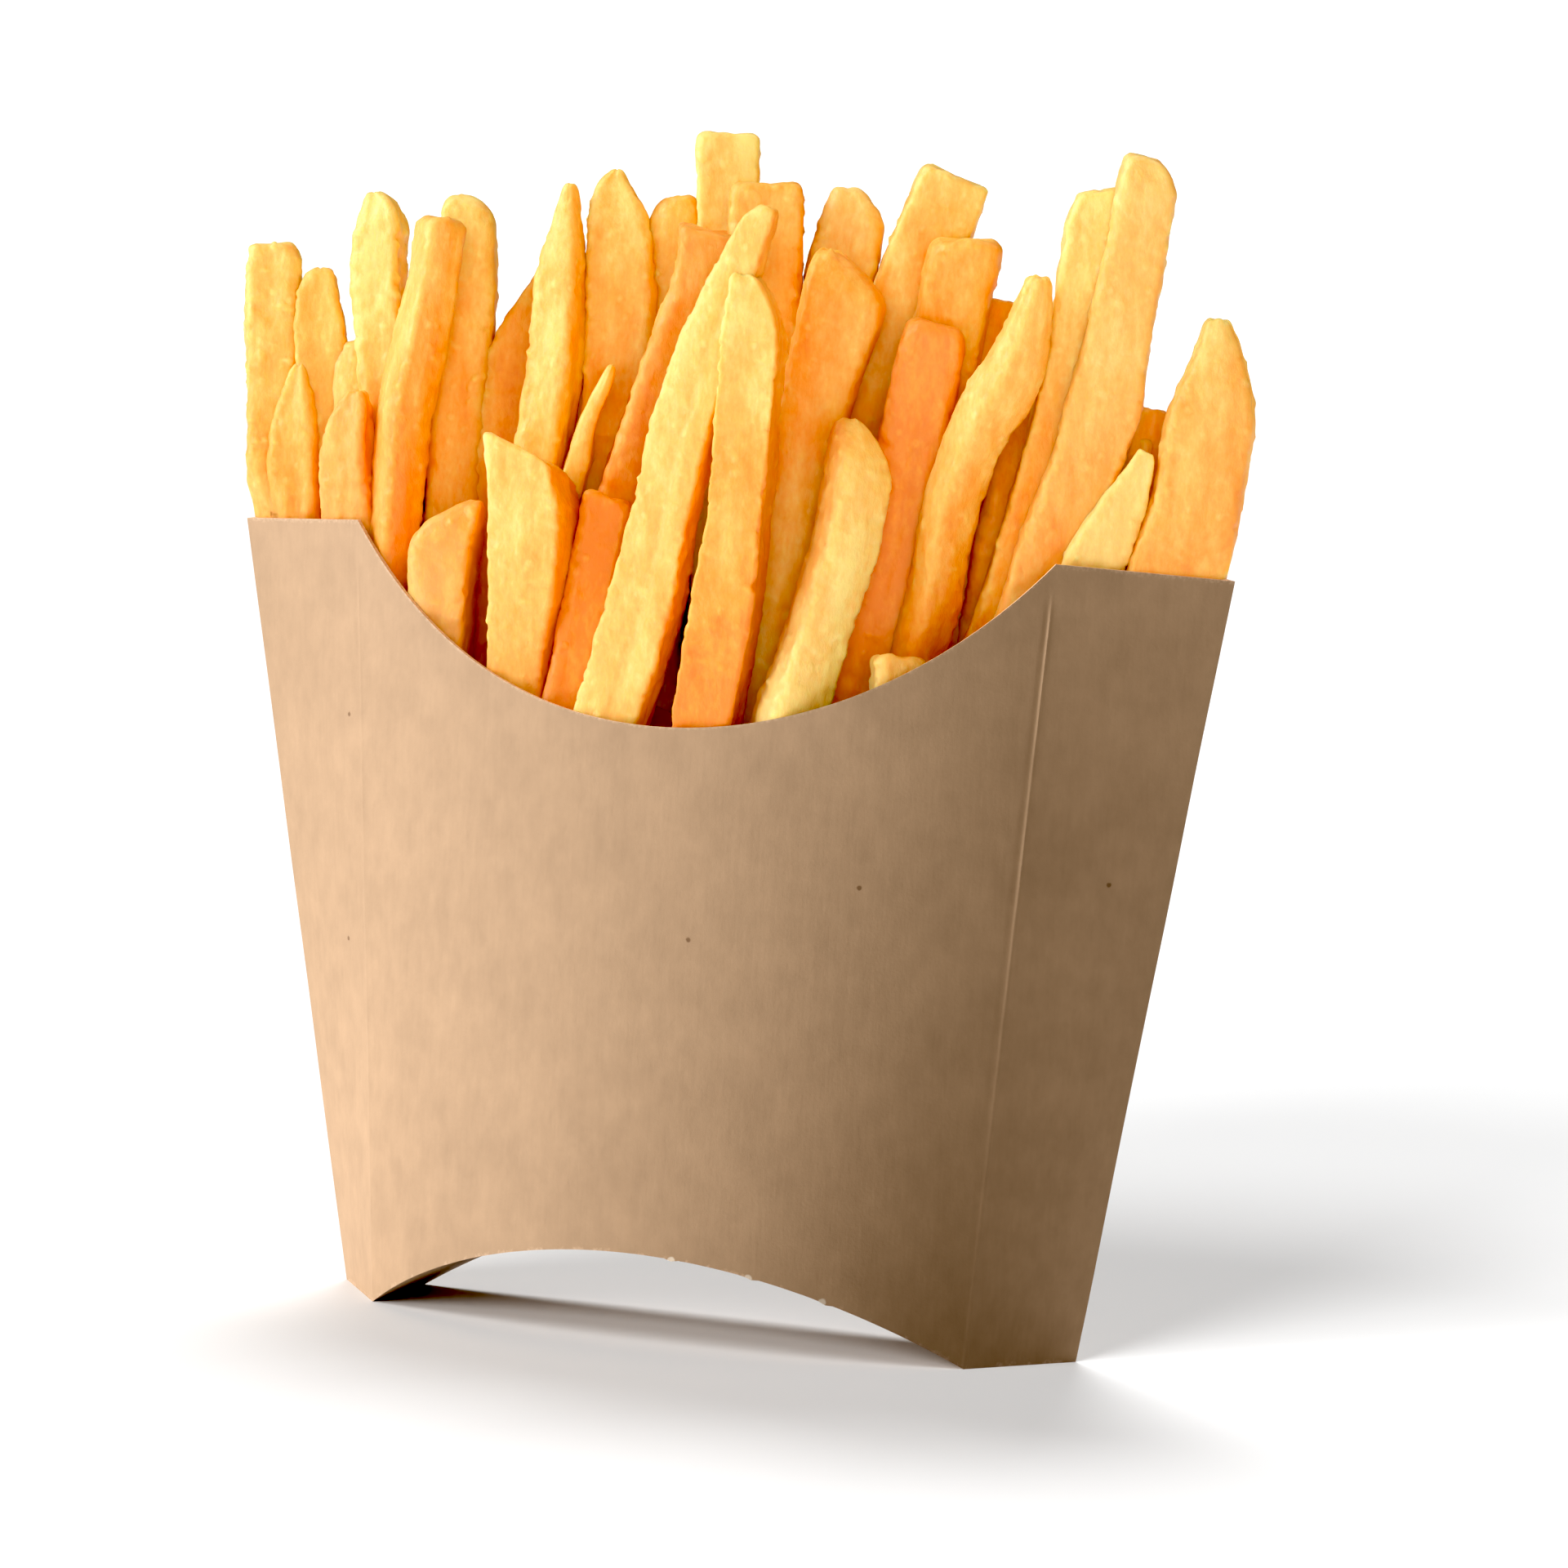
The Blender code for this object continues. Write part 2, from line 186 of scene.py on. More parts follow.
# Short sticks that fill the gaps lower down.
FILLER_SEED = 5
FILLER_STEP = 6.6
FILLER_LEFT = -52
FILLER_RIGHT = 54
FILLER_ROWS = (0.38, 0.75)
FILLER_FOOT_Z = 74
FILLER_LEVEL_Z = 92.0
FILLER_BACK_TIP_Z = (90, 100)
FILLER_WIDTH = (6.5, 8.5)
FILLER_DEPTH = 6.5
FILLER_TURN = (-15, 50)
FILLER_LEAN = 1.04
FILLER_REACH = 12
# FILLER_TONE_AND_SHADE and LOW_SHADE paint shade on these sticks, which show between others: a deep orange
# tone, darkened halfway towards a near black.
FILLER_TONE_AND_SHADE = 0.9
LOW_SHADE = 0.5

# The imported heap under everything: the height and the share of its full size of each ring.
CORE_TOP_Z = 72.0
CORE_RINGS = (
    (16, 1), (40, 1), (60, 1), (CORE_TOP_Z - 2, 1),
    (CORE_TOP_Z, 0.9), (CORE_TOP_Z + 1, 0.6), (CORE_TOP_Z + 1, 0.3),
)
CORE_POINTS = 96
CORE_UNEVEN_FROM = 3
CORE_LUMP_SIZE = 7.0
CORE_LUMP_HEIGHT = 1.5
CORE_SIDE_GAP = 2.0
CORE_GAP = 1.2
CORE_LEAST_REACH = 0.4
CORE_CORNERS = 0.3
CORE_SEED = 0.5
# HEAP_SHADE paints shade on the heap: its deep orange goes three quarters of the way to a near black.
HEAP_SHADE = 0.25

# Outlines of plain ends, as described at fry.
CUT = ((0, 0.92, 0), (1.5, 1, 0))
BLUNT = ((0, 0.7, 0), (1.5, 0.9, 0), (4, 1, 0))
# By default every stick gets side: painted shade that deepens the tone of its right faces.
FRY_DEFAULTS = dict(
    turn=21, twist=0, bow=0.0, shape=CUT, rise=0.0, tone=0.4, foot_tone=None, raw=0.0, pink=0.0, side=0.25,
    rough=1.0, groove=None, edge=1.0, left=0.0, nod=0.4, shade=1.0, depth_in=FOOT_DEPTH, step=RING_STEP,
)


def fry(foot, tip, width, depth, **looks):
    """One stick: where it enters the heap, its tip, its two widths, and how it differs from a straight bar.

    turn is about its own length in degrees at the tip, and twist is added to it at the foot. bow bends it
    sideways. shape gives, at distances down from the tip, the share of its full size and how far it stands
    to the right of the straight line. rise is how much higher the cut is at its right edge, and nod at its
    front edge. groove is where across the front face a lengthwise crease runs, from -1 to 1, and its depth.
    edge is how round its corners are, and rough is how rough its skin is. tone runs from 0, pale, to 1,
    deep orange, from foot_tone at the foot to tone at the tip; the tone at the foot is partly the stick's
    own colour and partly painted shade, deeper low in the carton. side and left add painted shade to it on
    the right and left faces, as a deeper orange tone, and below zero they paint those faces paler. raw and
    pink tint it, and shade is painted shade that darkens what lies deep in the heap. depth_in is how far it
    reaches below the scooped edge, and step is the distance between its rings of points.
    """
    return dict(FRY_DEFAULTS, foot=foot, tip=tip, width=width, depth=depth, **looks)


FRONT_ROW = [
    fry((-34.6, -5.5, 86), (-34.0, -5.5, 101.5), 7.8, 9.0, turn=12, edge=0.8,
        shape=((0, 0.27, 3.6), (1.5, 0.57, 2.3), (3, 0.81, 1.2), (5, 0.98, 0.2), (8, 1.03, -0.2),
               (12, 0.95, 0)),
        tone=0.57, foot_tone=1, raw=0.45, side=0.5),
    fry((-21.0, -9.5, 75), (-21.0, -10.5, 107.6), 9.4, 9.0, turn=0, twist=6, rise=-3.8, nod=3.2, edge=0.45,
        shape=((0, 0.98, -0.3), (3, 1, 0.2), (5, 1.03, 0.8), (12, 1, 1), (16, 0.93, 0.8), (25, 0.8, -0.2),
               (31, 0.72, -0.5)),
        tone=0.28, foot_tone=0.68, raw=0.12, side=0.6),
    fry((-7.0, -13.0, 76), (11.0, -15.5, 139), 8.4, 5.5, turn=2, groove=(0.1, 0.35), edge=0.6,
        shape=((0, 0.3, 0), (1.5, 0.45, -0.5), (3, 0.52, -0.8), (8, 0.62, -1.3), (12, 0.72, -1.7),
               (20, 0.88, -2.1), (30, 0.92, -2.3), (40, 0.9, -1.4), (50, 1.02, -0.7)),
        tone=0.26, foot_tone=0.4, raw=0.12, side=0.55),
    fry((4.0, -13.0, 76), (9.0, -16.5, 131), 7.2, 6.3, turn=13, twist=-8, edge=0.6,
        shape=((0, 0.45, -0.3), (1.5, 0.62, 0.4), (3, 0.74, 0.9), (5, 0.88, 1.4), (8, 1, 1.7),
               (20, 0.98, 2.1), (30, 0.94, 2.2), (35, 1.03, 2.1), (42, 1.07, 1.8), (54, 1.05, 0.8)),
        tone=0.12, foot_tone=1, side=0.5),
    fry((13.5, -11.2, 76), (20.0, -8.5, 114), 7.4, 6.4, turn=50, edge=1.2, left=0.45,
        shape=((0, 0.4, 0), (1.5, 0.68, 0.6), (3, 0.84, 1.4), (5, 0.97, 2.1), (8, 1.02, 2.5),
               (16, 1.02, 2.9), (25, 0.98, 2.1), (38, 1.04, 0.8)),
        tone=0.47, foot_tone=0.16, raw=0.3, side=-0.2),
    fry((28.0, -8.0, 77), (27.5, -8.0, 86), 6.8, 5.0, rise=-1, turn=35, tone=0.55, foot_tone=0.55, raw=0.8),
    fry((-18.3, -3.0, 103), (-13.4, -4.5, 119), 2.2, 4.0,
        shape=((0, 0.4, 0.2), (3, 0.8, -0.1), (8, 1, -0.8), (12, 1.4, -0.5)),
        tone=0.29, foot_tone=0, rough=1.6),
    fry((-47.6, -1.3, 97), (-49.2, -3.5, 114), 7.4, 4.5, turn=-8,
        shape=((0, 0.35, 0.9), (1.5, 0.6, 0.5), (3, 0.78, 0), (5, 0.9, -0.6), (8, 0.96, -1.2),
               (12, 1.02, -1.5), (16, 1.08, -1.4)),
        tone=0.56, foot_tone=1, pink=0.15),
]
MIDDLE_ROW = [
    fry((-58.4, 2.6, 98), (-59.2, 2.2, 117), 6.6, 4.5, turn=0,
        shape=((0, 0.24, 0.3), (1.5, 0.44, 0.1), (3, 0.6, 0), (5, 0.79, -0.2), (8, 0.95, -0.2),
               (12, 1.06, -0.2)),
        tone=0.34, foot_tone=1),
    fry((-41.5, -3.0, 96), (-38.0, -2.5, 136), 5.6, 8.0, turn=42,
        shape=((0, 0.86, 0), (1.5, 0.9, 0), (5, 0.92, 0), (8, 0.93, -0.1), (12, 1, -0.5),
               (20, 1.04, -1.2), (25, 1.03, -1.7), (36, 0.92, -1.2)),
        tone=0.33, foot_tone=1),
    fry((-24.0, -2.5, 99), (-21.5, -0.5, 141), 6.4, 6.5, turn=0,
        shape=((0, 0.22, 0), (3, 0.43, 0.1), (5, 0.53, 0.1), (8, 0.7, 0.1), (12, 0.86, 0.1),
               (20, 0.93, 0.9), (35, 0.95, 0.3)),
        tone=0.21, foot_tone=0.43),
    fry((-14.6, -10.0, 79), (-11.5, -7.5, 103), 6.5, 5.5, rise=-1, tone=0.83, foot_tone=1),
    fry((-15.5, -1.5, 97), (-1.0, -4.5, 136), 8.0, 6.0, turn=24, bow=2.0,
        shape=((0, 1, 0), (3, 0.95, 0.6), (7, 0.93, 0.9), (12, 1, 0.5), (20, 1, 0)),
        tone=0.58, foot_tone=1, pink=0.15),
    fry((4.5, -0.5, 103), (4.1, 0.5, 142), 9.2, 7.0, bow=0.8, tone=0.4, foot_tone=0.21),
    fry((7.5, -3.0, 88), (15.5, -3.5, 134), 8.8, 6.5,
        shape=((0, 0.3, -1), (1.5, 0.68, 0.2), (3, 0.9, 1.1), (5, 1.1, 2), (8, 1.1, 1.9), (12, 1.04, 1.5),
               (20, 0.95, 0.9), (30, 0.95, 0.4)),
        tone=0.56, foot_tone=0.35),
    fry((20.5, -2.0, 86), (28.5, -2.5, 126), 8.0, 6.0, shape=((0, 0.75, -0.2), (1.5, 0.95, 0), (3, 1, 0)),
        groove=(0.2, 0.3), tone=0.87, foot_tone=1, pink=0.12),
    fry((29.5, -2.0, 85), (43.0, -6.5, 132), 6.2, 5.6, turn=55,
        shape=((0, 0.43, -0.4), (3, 0.63, -0.2), (5, 0.75, -0.2), (8, 0.89, -0.2), (12, 1.09, -0.6),
               (16, 1.14, -1.5), (20, 1.07, -2.5), (25, 1.01, -3.1), (30, 1.02, -3.3), (35, 0.97, -3.1),
               (42, 0.97, -2)),
        tone=0.14, foot_tone=0.81),
    fry((39.5, 0.5, 91), (53.5, -0.5, 147), 7.6, 7.0,
        shape=((0, 0.61, -0.6), (1.5, 0.77, 0), (3, 0.92, 0.7), (8, 0.95, 1.3), (16, 0.99, 1.9),
               (25, 1.09, 2.5), (30, 1.19, 3.1), (35, 1.12, 2.9), (40, 1.1, 2.5), (50, 1, 1)),
        tone=0.13, foot_tone=0.83, pink=0.15),
    fry((49.5, -1.5, 98), (55.4, -1.5, 112), 7.6, 3.5,
        shape=((0, 0.3, 0), (1.5, 0.4, 0.3), (3, 0.5, 0.2), (5, 0.63, 0.2), (8, 0.8, 0),
               (14, 0.98, -0.1)),
        tone=0, foot_tone=1, raw=0.7),
]
BACK_ROWS = [
    fry((-62.3, 4.2, 98), (-64.2, 4.4, 132), 7.3, 5.6,
        shape=((0, 0.8, -0.5), (1.5, 0.92, -0.1), (3, 0.97, -0.2), (5, 1, -0.3), (30, 1, -0.1)),
        tone=0.12, foot_tone=0.86, rough=1.8),
    fry((-55.0, 4.5, 97), (-58.5, 5.5, 129), 6.8, 6.0,
        shape=((0, 0.45, 0.3), (1, 0.6, 0), (4, 0.8, -0.3), (8, 0.97, -0.1), (14, 1, 0)),
        tone=0.34, foot_tone=1),
    fry((-43.5, 2.5, 98), (-50.0, 4.5, 139), 7.5, 6.5, turn=5,
        shape=((0, 0.32, -0.5), (1.5, 0.56, 0), (3, 0.73, 0.1), (5, 0.83, -0.2), (8, 0.88, -0.7),
               (12, 0.88, -1.2), (20, 0.88, -0.9)),
        tone=0.06, foot_tone=1, rough=1.4),
    fry((-37.5, 3.5, 98), (-38.0, 5.5, 139), 7.2, 7.0,
        shape=((0, 0.5, -0.9), (1.5, 0.83, -0.3), (3, 0.94, 0.1), (8, 0.98, 0.3), (12, 1, 0.5),
               (20, 1, 0.3), (35, 1, 0)),
        tone=0, foot_tone=1),
    fry((-32.0, 5.5, 98), (-30.2, 7.5, 131), 8.2, 6.0,
        shape=((0, 0.2, 2.5), (3, 0.4, 1.8), (8, 0.75, 0.6), (12, 1, 0)), tone=0.57, foot_tone=1),
    fry((-17.0, 3.5, 99), (-17.5, 4.5, 143), 8.7, 7.0,
        shape=((0, 0.2, 0), (1.5, 0.44, -0.5), (3, 0.62, -0.1), (5, 0.85, 0.4), (8, 0.93, 0.7),
               (16, 1.02, 1.4), (25, 1, 1.3)),
        tone=0.17, foot_tone=1),
    fry((-10.5, 6.5, 100), (-10.5, 7.5, 140), 6.8, 6.0, rise=1.5,
        shape=((0, 0.6, 0), (1, 0.8, 0), (3, 1, 0)), tone=0.38, foot_tone=0),
    fry((-2.0, 6.5, 100), (-3.5, 6.5, 148), 7.8, 7.0, tone=0, foot_tone=0),
    fry((11.0, 5.5, 100), (12.5, 6.5, 142), 8.5, 6.5,
        shape=((0, 0.45, 0), (1.5, 0.65, 0.4), (3, 0.85, 0.8), (5, 0.98, 0.7), (8, 1.05, 0.3),
               (15, 1.05, 0)),
        tone=0.2, foot_tone=0.2, pink=0.2),
    fry((12.8, 4.5, 100), (27.0, 5.5, 144), 8.9, 7.0, bow=-1.0, tone=0.21, foot_tone=1),
    fry((24.0, 3.5, 100), (30.0, 1.5, 136), 8.4, 6.0, rise=1.4, tone=0.48, foot_tone=0.48),
    fry((30.0, 5.5, 100), (32.0, 7.5, 129), 7.0, 6.0, tone=0.7),
    fry((34.0, 2.5, 89), (47.0, -0.5, 143), 6.6, 7.0, bow=2.8, rise=1.5,
        shape=((0, 0.75, 0.6), (2, 0.92, 0.3), (4, 1, 0)), tone=0, foot_tone=1),
    fry((60.0, 1.6, 98), (62.0, 2.0, 128), 10.4, 4.6,
        shape=((0, 0.25, 0.4), (1.5, 0.38, 0.6), (3, 0.47, 0.9), (5, 0.62, 1), (8, 0.83, 1.1),
               (12, 1.01, 0.9), (20, 1, 0.5), (24, 1.02, 0.1), (30, 1.14, -0.9)),
        tone=0.08, foot_tone=1, pink=0.1),
    fry((51.0, 4.5, 97), (53.5, 5.5, 117), 6.0, 5.0, shape=BLUNT, tone=0.55, foot_tone=0.8),
    fry((35.0, 5.5, 97), (40.0, 5.5, 126), 7.5, 6.0, tone=0.75),
]

for stick in FRONT_ROW:
    stick["step"] = FINE_STEP


def mix(low, high, share):
    """The value a given share of the way from low to high."""
    return low + (high - low) * share


def smooth(low, high, value):
    """0 below low, 1 above high, and smooth between."""
    share = np.clip((value - low) / (high - low), 0.0, 1.0)
    return share * share * (3 - 2 * share)


# ---------------------------------------------------------------- carton shape

def bow_radius(half_width, bulge):
    """Radius of the arc that bulges this far over this half width."""
    return (half_width**2 + bulge**2) / (2 * bulge)


def front_wall(z):
    """Half width, depth of the folds and bulge of the front panel at height z."""
    up = z / FRONT_TOP_Z
    half_width = mix(FRONT_FOOT_X, FRONT_TOP_X, up)
    return half_width, FRONT_Y + FRONT_TOP_SETBACK * up, mix(FRONT_FOOT_BULGE, FRONT_TOP_BULGE, up)


def back_wall(z):
    """Half width, depth of the corners and bulge of the back panel at height z."""
    up = z / BACK_TOP_Z
    half_width = mix(BACK_FOOT_X, BACK_TOP_X, up)
    return half_width, mix(BACK_FOOT_Y, BACK_TOP_Y, up), mix(BACK_FOOT_BULGE, BACK_TOP_BULGE, up)


def wall_point(wall, side, s, z):
    """Point on a bulging panel. s is -1 at its left edge, 1 at its right; side is -1 in front, 1 behind."""
    half_width, y, bulge = wall(z)
    radius = bow_radius(half_width, bulge)
    angle = asin(min(1.0, half_width / radius))
    return Vector((radius * sin(s * angle), y + side * radius * (cos(s * angle) - cos(angle)), z))


def back_share(x, z):
    """The back panel's s at this x and height."""
    half_width, _, bulge = back_wall(z)
    radius = bow_radius(half_width, bulge)
    angle = asin(min(1.0, half_width / radius))
    return asin(max(-1.0, min(1.0, x / radius))) / angle


def base_arch(x):
    """Height of the arched base above the surface, at distance x from the middle."""
    radius = bow_radius(FRONT_FOOT_X, BASE_ARCH_RISE)
    inside = min(abs(x), FRONT_FOOT_X)
    return sqrt(radius**2 - inside**2) - (radius - BASE_ARCH_RISE)


def scoop_edge(s):
    """Height of the front panel's scooped top edge: an arc in the flat board."""
    radius = bow_radius(SCOOP_HALF_LENGTH, FRONT_TOP_Z - SCOOP_LOW_Z)
    return SCOOP_LOW_Z + radius - (radius**2 - (s * SCOOP_HALF_LENGTH) ** 2) ** 0.5


def column(wall, side, s, low, high):
    """Points up one panel from height low to height high."""
    return [wall_point(wall, side, s, mix(low, high, row / PANEL_ROWS)) for row in range(PANEL_ROWS + 1)]


def panel_places():
    """Places across the front panel from -1 to 1, close together beside the folds."""
    close = np.arange(0, CREASE_REACH, CREASE_STEP)
    wide = SCOOP_HALF_LENGTH - CREASE_REACH
    middle = np.linspace(-wide, wide, int(2 * wide / PANEL_STEP))
    places = np.concatenate((-SCOOP_HALF_LENGTH + close, middle, SCOOP_HALF_LENGTH - close[::-1]))
    return places / SCOOP_HALF_LENGTH


def strip_shares():
    """Shares of the way across a side strip from its fold, close together beside the fold."""
    width = BACK_TOP_X - FRONT_TOP_X
    close = np.arange(CREASE_STEP, CREASE_REACH, CREASE_STEP)
    rest = np.linspace(CREASE_REACH, width, int(width / STRIP_STEP))[:-1]
    return np.concatenate((close, rest)) / width


def crease_relief(distance, z, strength):
    """How far the board stands out beside a scored fold; distance is to the right of it."""
    top = smooth(FRONT_TOP_Z - CREASE_TOP_GAP, FRONT_TOP_Z - 2 * CREASE_TOP_GAP, z)
    own_place = Vector((strength * 7, 3.1, z * CREASE_CHANGE_SCALE))
    worn = CREASE_MEAN + CREASE_CHANGE * noise.noise(own_place)
    ridge = CREASE_RIDGE * np.exp(-((distance / CREASE_WIDTH) ** 2))
    groove = CREASE_GROOVE * np.exp(-(((distance + GROOVE_OFFSET) / GROOVE_WIDTH) ** 2))
    fading = mix(CREASE_FOOT_SHARE, 1.0, smooth(0.0, FRONT_TOP_Z, z))
    return strength * top * fading * worn * (ridge - groove)


def carton_skin(bm):
    """The board's outer skin, with its wear painted on the corners of the mesh."""
    wear = bm.verts.layers.float.new("Wear")

    def grid(rows, wears):
        made = []
        for row, values in zip(rows, wears):
            made.append([bm.verts.new(point) for point in row])
            for vert, value in zip(made[-1], values):
                vert[wear] = value
        for row, following in zip(made, made[1:]):
            for i in range(len(row) - 1):
                bm.faces.new((row[i], following[i], following[i + 1], row[i + 1]))

    front, places = [], panel_places()
    for s in places:
        foot_x = wall_point(front_wall, -1, s, 0).x
        nick = NICK_DROP * sum(np.exp(-(((foot_x - place) / NICK_WIDTH) ** 2)) for place in NICKS)
        front.append(column(front_wall, -1, s, base_arch(foot_x) - nick, scoop_edge(s)))
    foot_xs = [points[0].x for points in front]
    corner_xs = np.linspace(BACK_FOOT_X, FRONT_FOOT_X, CORNER_COLUMNS + 1)
    back_xs = list(corner_xs[:-1]) + foot_xs[::-1]
    back_xs += list(np.linspace(-FRONT_FOOT_X, -BACK_FOOT_X, CORNER_COLUMNS + 1)[1:])
    back = []
    for x in back_xs:
        low = base_arch(x)
        s = back_share(x, low)
        back.append(column(back_wall, 1, s, low, BACK_TOP_Z + BACK_EDGE_RISE * (1 - s**2)))
    shares = strip_shares()
    right = [[a.lerp(b, t) for a, b in zip(front[-1], back[0])] for t in shares]
    left = [[a.lerp(b, t) for a, b in zip(front[0], back[-1])] for t in shares[::-1]]

    base = []
    inner = back[CORNER_COLUMNS : CORNER_COLUMNS + len(front)][::-1]
    for near, far in zip(front, inner):
        base.append([near[0].lerp(far[0], row / BASE_ROWS) for row in range(BASE_ROWS + 1)])
    right_corner = [points[0] for points in back[:CORNER_COLUMNS]]
    left_corner = [points[0] for points in back[CORNER_COLUMNS + len(front) :]]

    around = front + right + back + left + [front[0]]
    fold_at = {0: LEFT_CREASE, len(front) - 1: RIGHT_CREASE, len(around) - 1: LEFT_CREASE}
    offsets = []
    for i, points in enumerate(around):
        relief = [0.0] * len(points)
        for fold, strength in fold_at.items():
            if abs(i - fold) > CREASE_COLUMNS:
                continue
            for k, point in enumerate(points):
                span = (point - around[fold][k]).length * (1 if i > fold else -1)
                relief[k] += crease_relief(span, point.z, strength)
        offsets.append(relief)

    moved, wears = [], []
    for i, points in enumerate(around):
        before = around[i - 1] if i else around[-2]
        after = around[(i + 1) % len(around)] if i < len(around) - 1 else around[1]
        row, values = [], []
        for k, point in enumerate(points):
            flat = after[k] - before[k]
            out = Vector((flat.y, -flat.x, 0)).normalized()
            wave = BOARD_WAVE * noise.noise(point * WAVE_SCALE) * smooth(WAVE_START_Z, WAVE_FULL_Z, point.z)
            row.append(point + out * (offsets[i][k] + wave))
            low, high = (point - points[0]).length, (point - points[-1]).length
            at_edge = max(0.0, 1 - low / WEAR_REACH, RIM_WEAR * (1 - high / WEAR_REACH))
            values.append(at_edge + CREASE_WEAR * max(0.0, offsets[i][k]))
        moved.append(row)
        wears.append(values)
    moved[-1] = moved[0]
    grid(moved, wears)

    for i, row in enumerate(base):
        row[0] = moved[i][0]
        row[-1] = moved[len(front) + len(right) + CORNER_COLUMNS + len(front) - 1 - i][0]
    grid(base, [[0.0] * len(row) for row in base])
    strip_right = [moved[len(front) + i][0] for i in range(len(right))]
    strip_left = [moved[len(front) + len(right) + len(back) + i][0] for i in range(len(left))]
    bm.faces.new([bm.verts.new(p) for p in strip_right + right_corner + base[-1][::-1]])
    bm.faces.new([bm.verts.new(p) for p in base[0] + left_corner + strip_left])
    bmesh.ops.remove_doubles(bm, verts=bm.verts, dist=WELD_DISTANCE)
    bmesh.ops.recalc_face_normals(bm, faces=bm.faces)
    for face in bm.faces:
        face.smooth = True
    for edge in bm.edges:
        edge.smooth = not edge.is_boundary and edge.calc_face_angle(0.0) < SHARP_FOLD


# ---------------------------------------------------------------- fries

def wall_limits(x, z):
    """Depths of the board's outer faces in front of and behind points, and the half width there."""
    half_front, fold_y, front_bulge = front_wall(z)
    half_back, corner_y, back_bulge = back_wall(z)
    inside = half_back - CORNER_CLEAR
    x = np.clip(x, -inside, inside)
    radius = bow_radius(half_back, back_bulge)
    behind = corner_y + np.sqrt(radius**2 - x**2) - (radius - back_bulge)
    radius = bow_radius(half_front, front_bulge)
    curved = fold_y - np.sqrt(np.maximum(radius**2 - x**2, 0)) + (radius - front_bulge)
    strip = mix(fold_y, corner_y, (np.abs(x) - half_front) / (half_back - half_front))
    return np.where(np.abs(x) < half_front, curved, strip), behind, inside


def keep_inside(points):
    """Moves rings of points that would cut the board inwards as a whole, and flattens what does not fit."""
    x, z = points[..., 0], points[..., 2]
    inside = wall_limits(x, z)[2]
    beside = 1 - smooth(BACK_TOP_Z, BACK_TOP_Z + SHIFT_FADE, z)
    points[..., 0] = mix(x, np.clip(x, -inside, inside), beside)
    x = points[..., 0]
    front_top = np.where(np.abs(x) < FRONT_TOP_X, scoop_edge(np.clip(x / FRONT_TOP_X, -1, 1)), FRONT_TOP_Z)
    back_top = BACK_TOP_Z + BACK_EDGE_RISE * (1 - (x / BACK_TOP_X) ** 2)
    in_front = 1 - smooth(front_top, front_top + RIM_FADE, z)
    in_back = 1 - smooth(back_top, back_top + RIM_FADE, z)
    near_front = 1 - smooth(front_top, front_top + SHIFT_FADE, z)
    near_back = 1 - smooth(back_top, back_top + SHIFT_FADE, z)
    low, high, _ = wall_limits(x, z)
    low = low + WALL_MARGIN
    high = np.maximum(high - WALL_MARGIN, low)
    y = points[..., 1]
    y = y + (np.maximum(low - y, 0) * near_front).mean(axis=1, keepdims=True)
    y = y + (np.minimum(high - y, 0) * near_back).mean(axis=1, keepdims=True)
    y = y + np.maximum(low - y, 0) * in_front
    points[..., 1] = y + np.minimum(high - y, 0) * in_back
    return points


def unit(vectors):
    """The same directions, each one long."""
    return vectors / np.linalg.norm(vectors, axis=-1, keepdims=True)


def skin_noise(points, size, seed, stretch=1.0):
    """Smooth noise from -1 to 1 at each point, with lumps of about this size, longer upwards by stretch."""
    shift = Vector((seed * 13.7, seed * 5.3, seed * 9.1))
    flat = points.reshape(-1, 3) / (size, size, size * stretch)
    values = [noise.noise(Vector(p) + shift) for p in flat.tolist()]
    return np.array(values).reshape(points.shape[:-1])


CORNERS = ((1, 1), (-1, 1), (-1, -1), (1, -1))
FACES = ((0, 1), (-1, 0), (0, -1), (1, 0))


def section_rings(half, thick, radii):
    """Rounded rectangles of these half widths: offsets, the way out, and the crown of their faces."""
    arcs = []
    for quarter, (x_sign, y_sign) in enumerate(CORNERS):
        radius = np.minimum(radii[quarter], CORNER_LIMIT * np.minimum(half, thick))[:, None]
        angle = pi / 2 * (quarter + np.linspace(0, 1, ARC_POINTS))[None]
        x = x_sign * (half[:, None] - radius) + np.cos(angle) * radius
        y = y_sign * (thick[:, None] - radius) + np.sin(angle) * radius
        arcs.append((x, y, np.cos(angle)[0], np.sin(angle)[0]))
    share = np.linspace(0, 1, FACE_POINTS + 2)[1:-1]
    xs, ys, out_x, out_y, crown = [], [], [], [], []
    for quarter, (x, y, cosine, sine) in enumerate(arcs):
        next_x, next_y = arcs[(quarter + 1) % 4][:2]
        xs += [x, mix(x[:, -1:], next_x[:, :1], share)]
        ys += [y, mix(y[:, -1:], next_y[:, :1], share)]
        out_x += [cosine, np.full(FACE_POINTS, FACES[quarter][0])]
        out_y += [sine, np.full(FACE_POINTS, FACES[quarter][1])]
        crown += [np.zeros(ARC_POINTS), 4 * share * (1 - share)]
    return tuple(np.concatenate(parts, axis=-1) for parts in (xs, ys, out_x, out_y, crown))


def profile(shape, column_index, down):
    """A stick's size or shift at distances down from its tip, with the corners at its stations eased."""
    stations = np.array(shape, float)
    table = np.arange(0, down.max() + 4, PROFILE_STEP)
    values = np.interp(table, stations[:, 0], stations[:, column_index])
    padded = np.pad(values, PROFILE_BLUR // 2, mode="reflect", reflect_type="odd")
    eased = np.convolve(padded, np.ones(PROFILE_BLUR) / PROFILE_BLUR, mode="valid")
    return np.interp(down, table, eased)


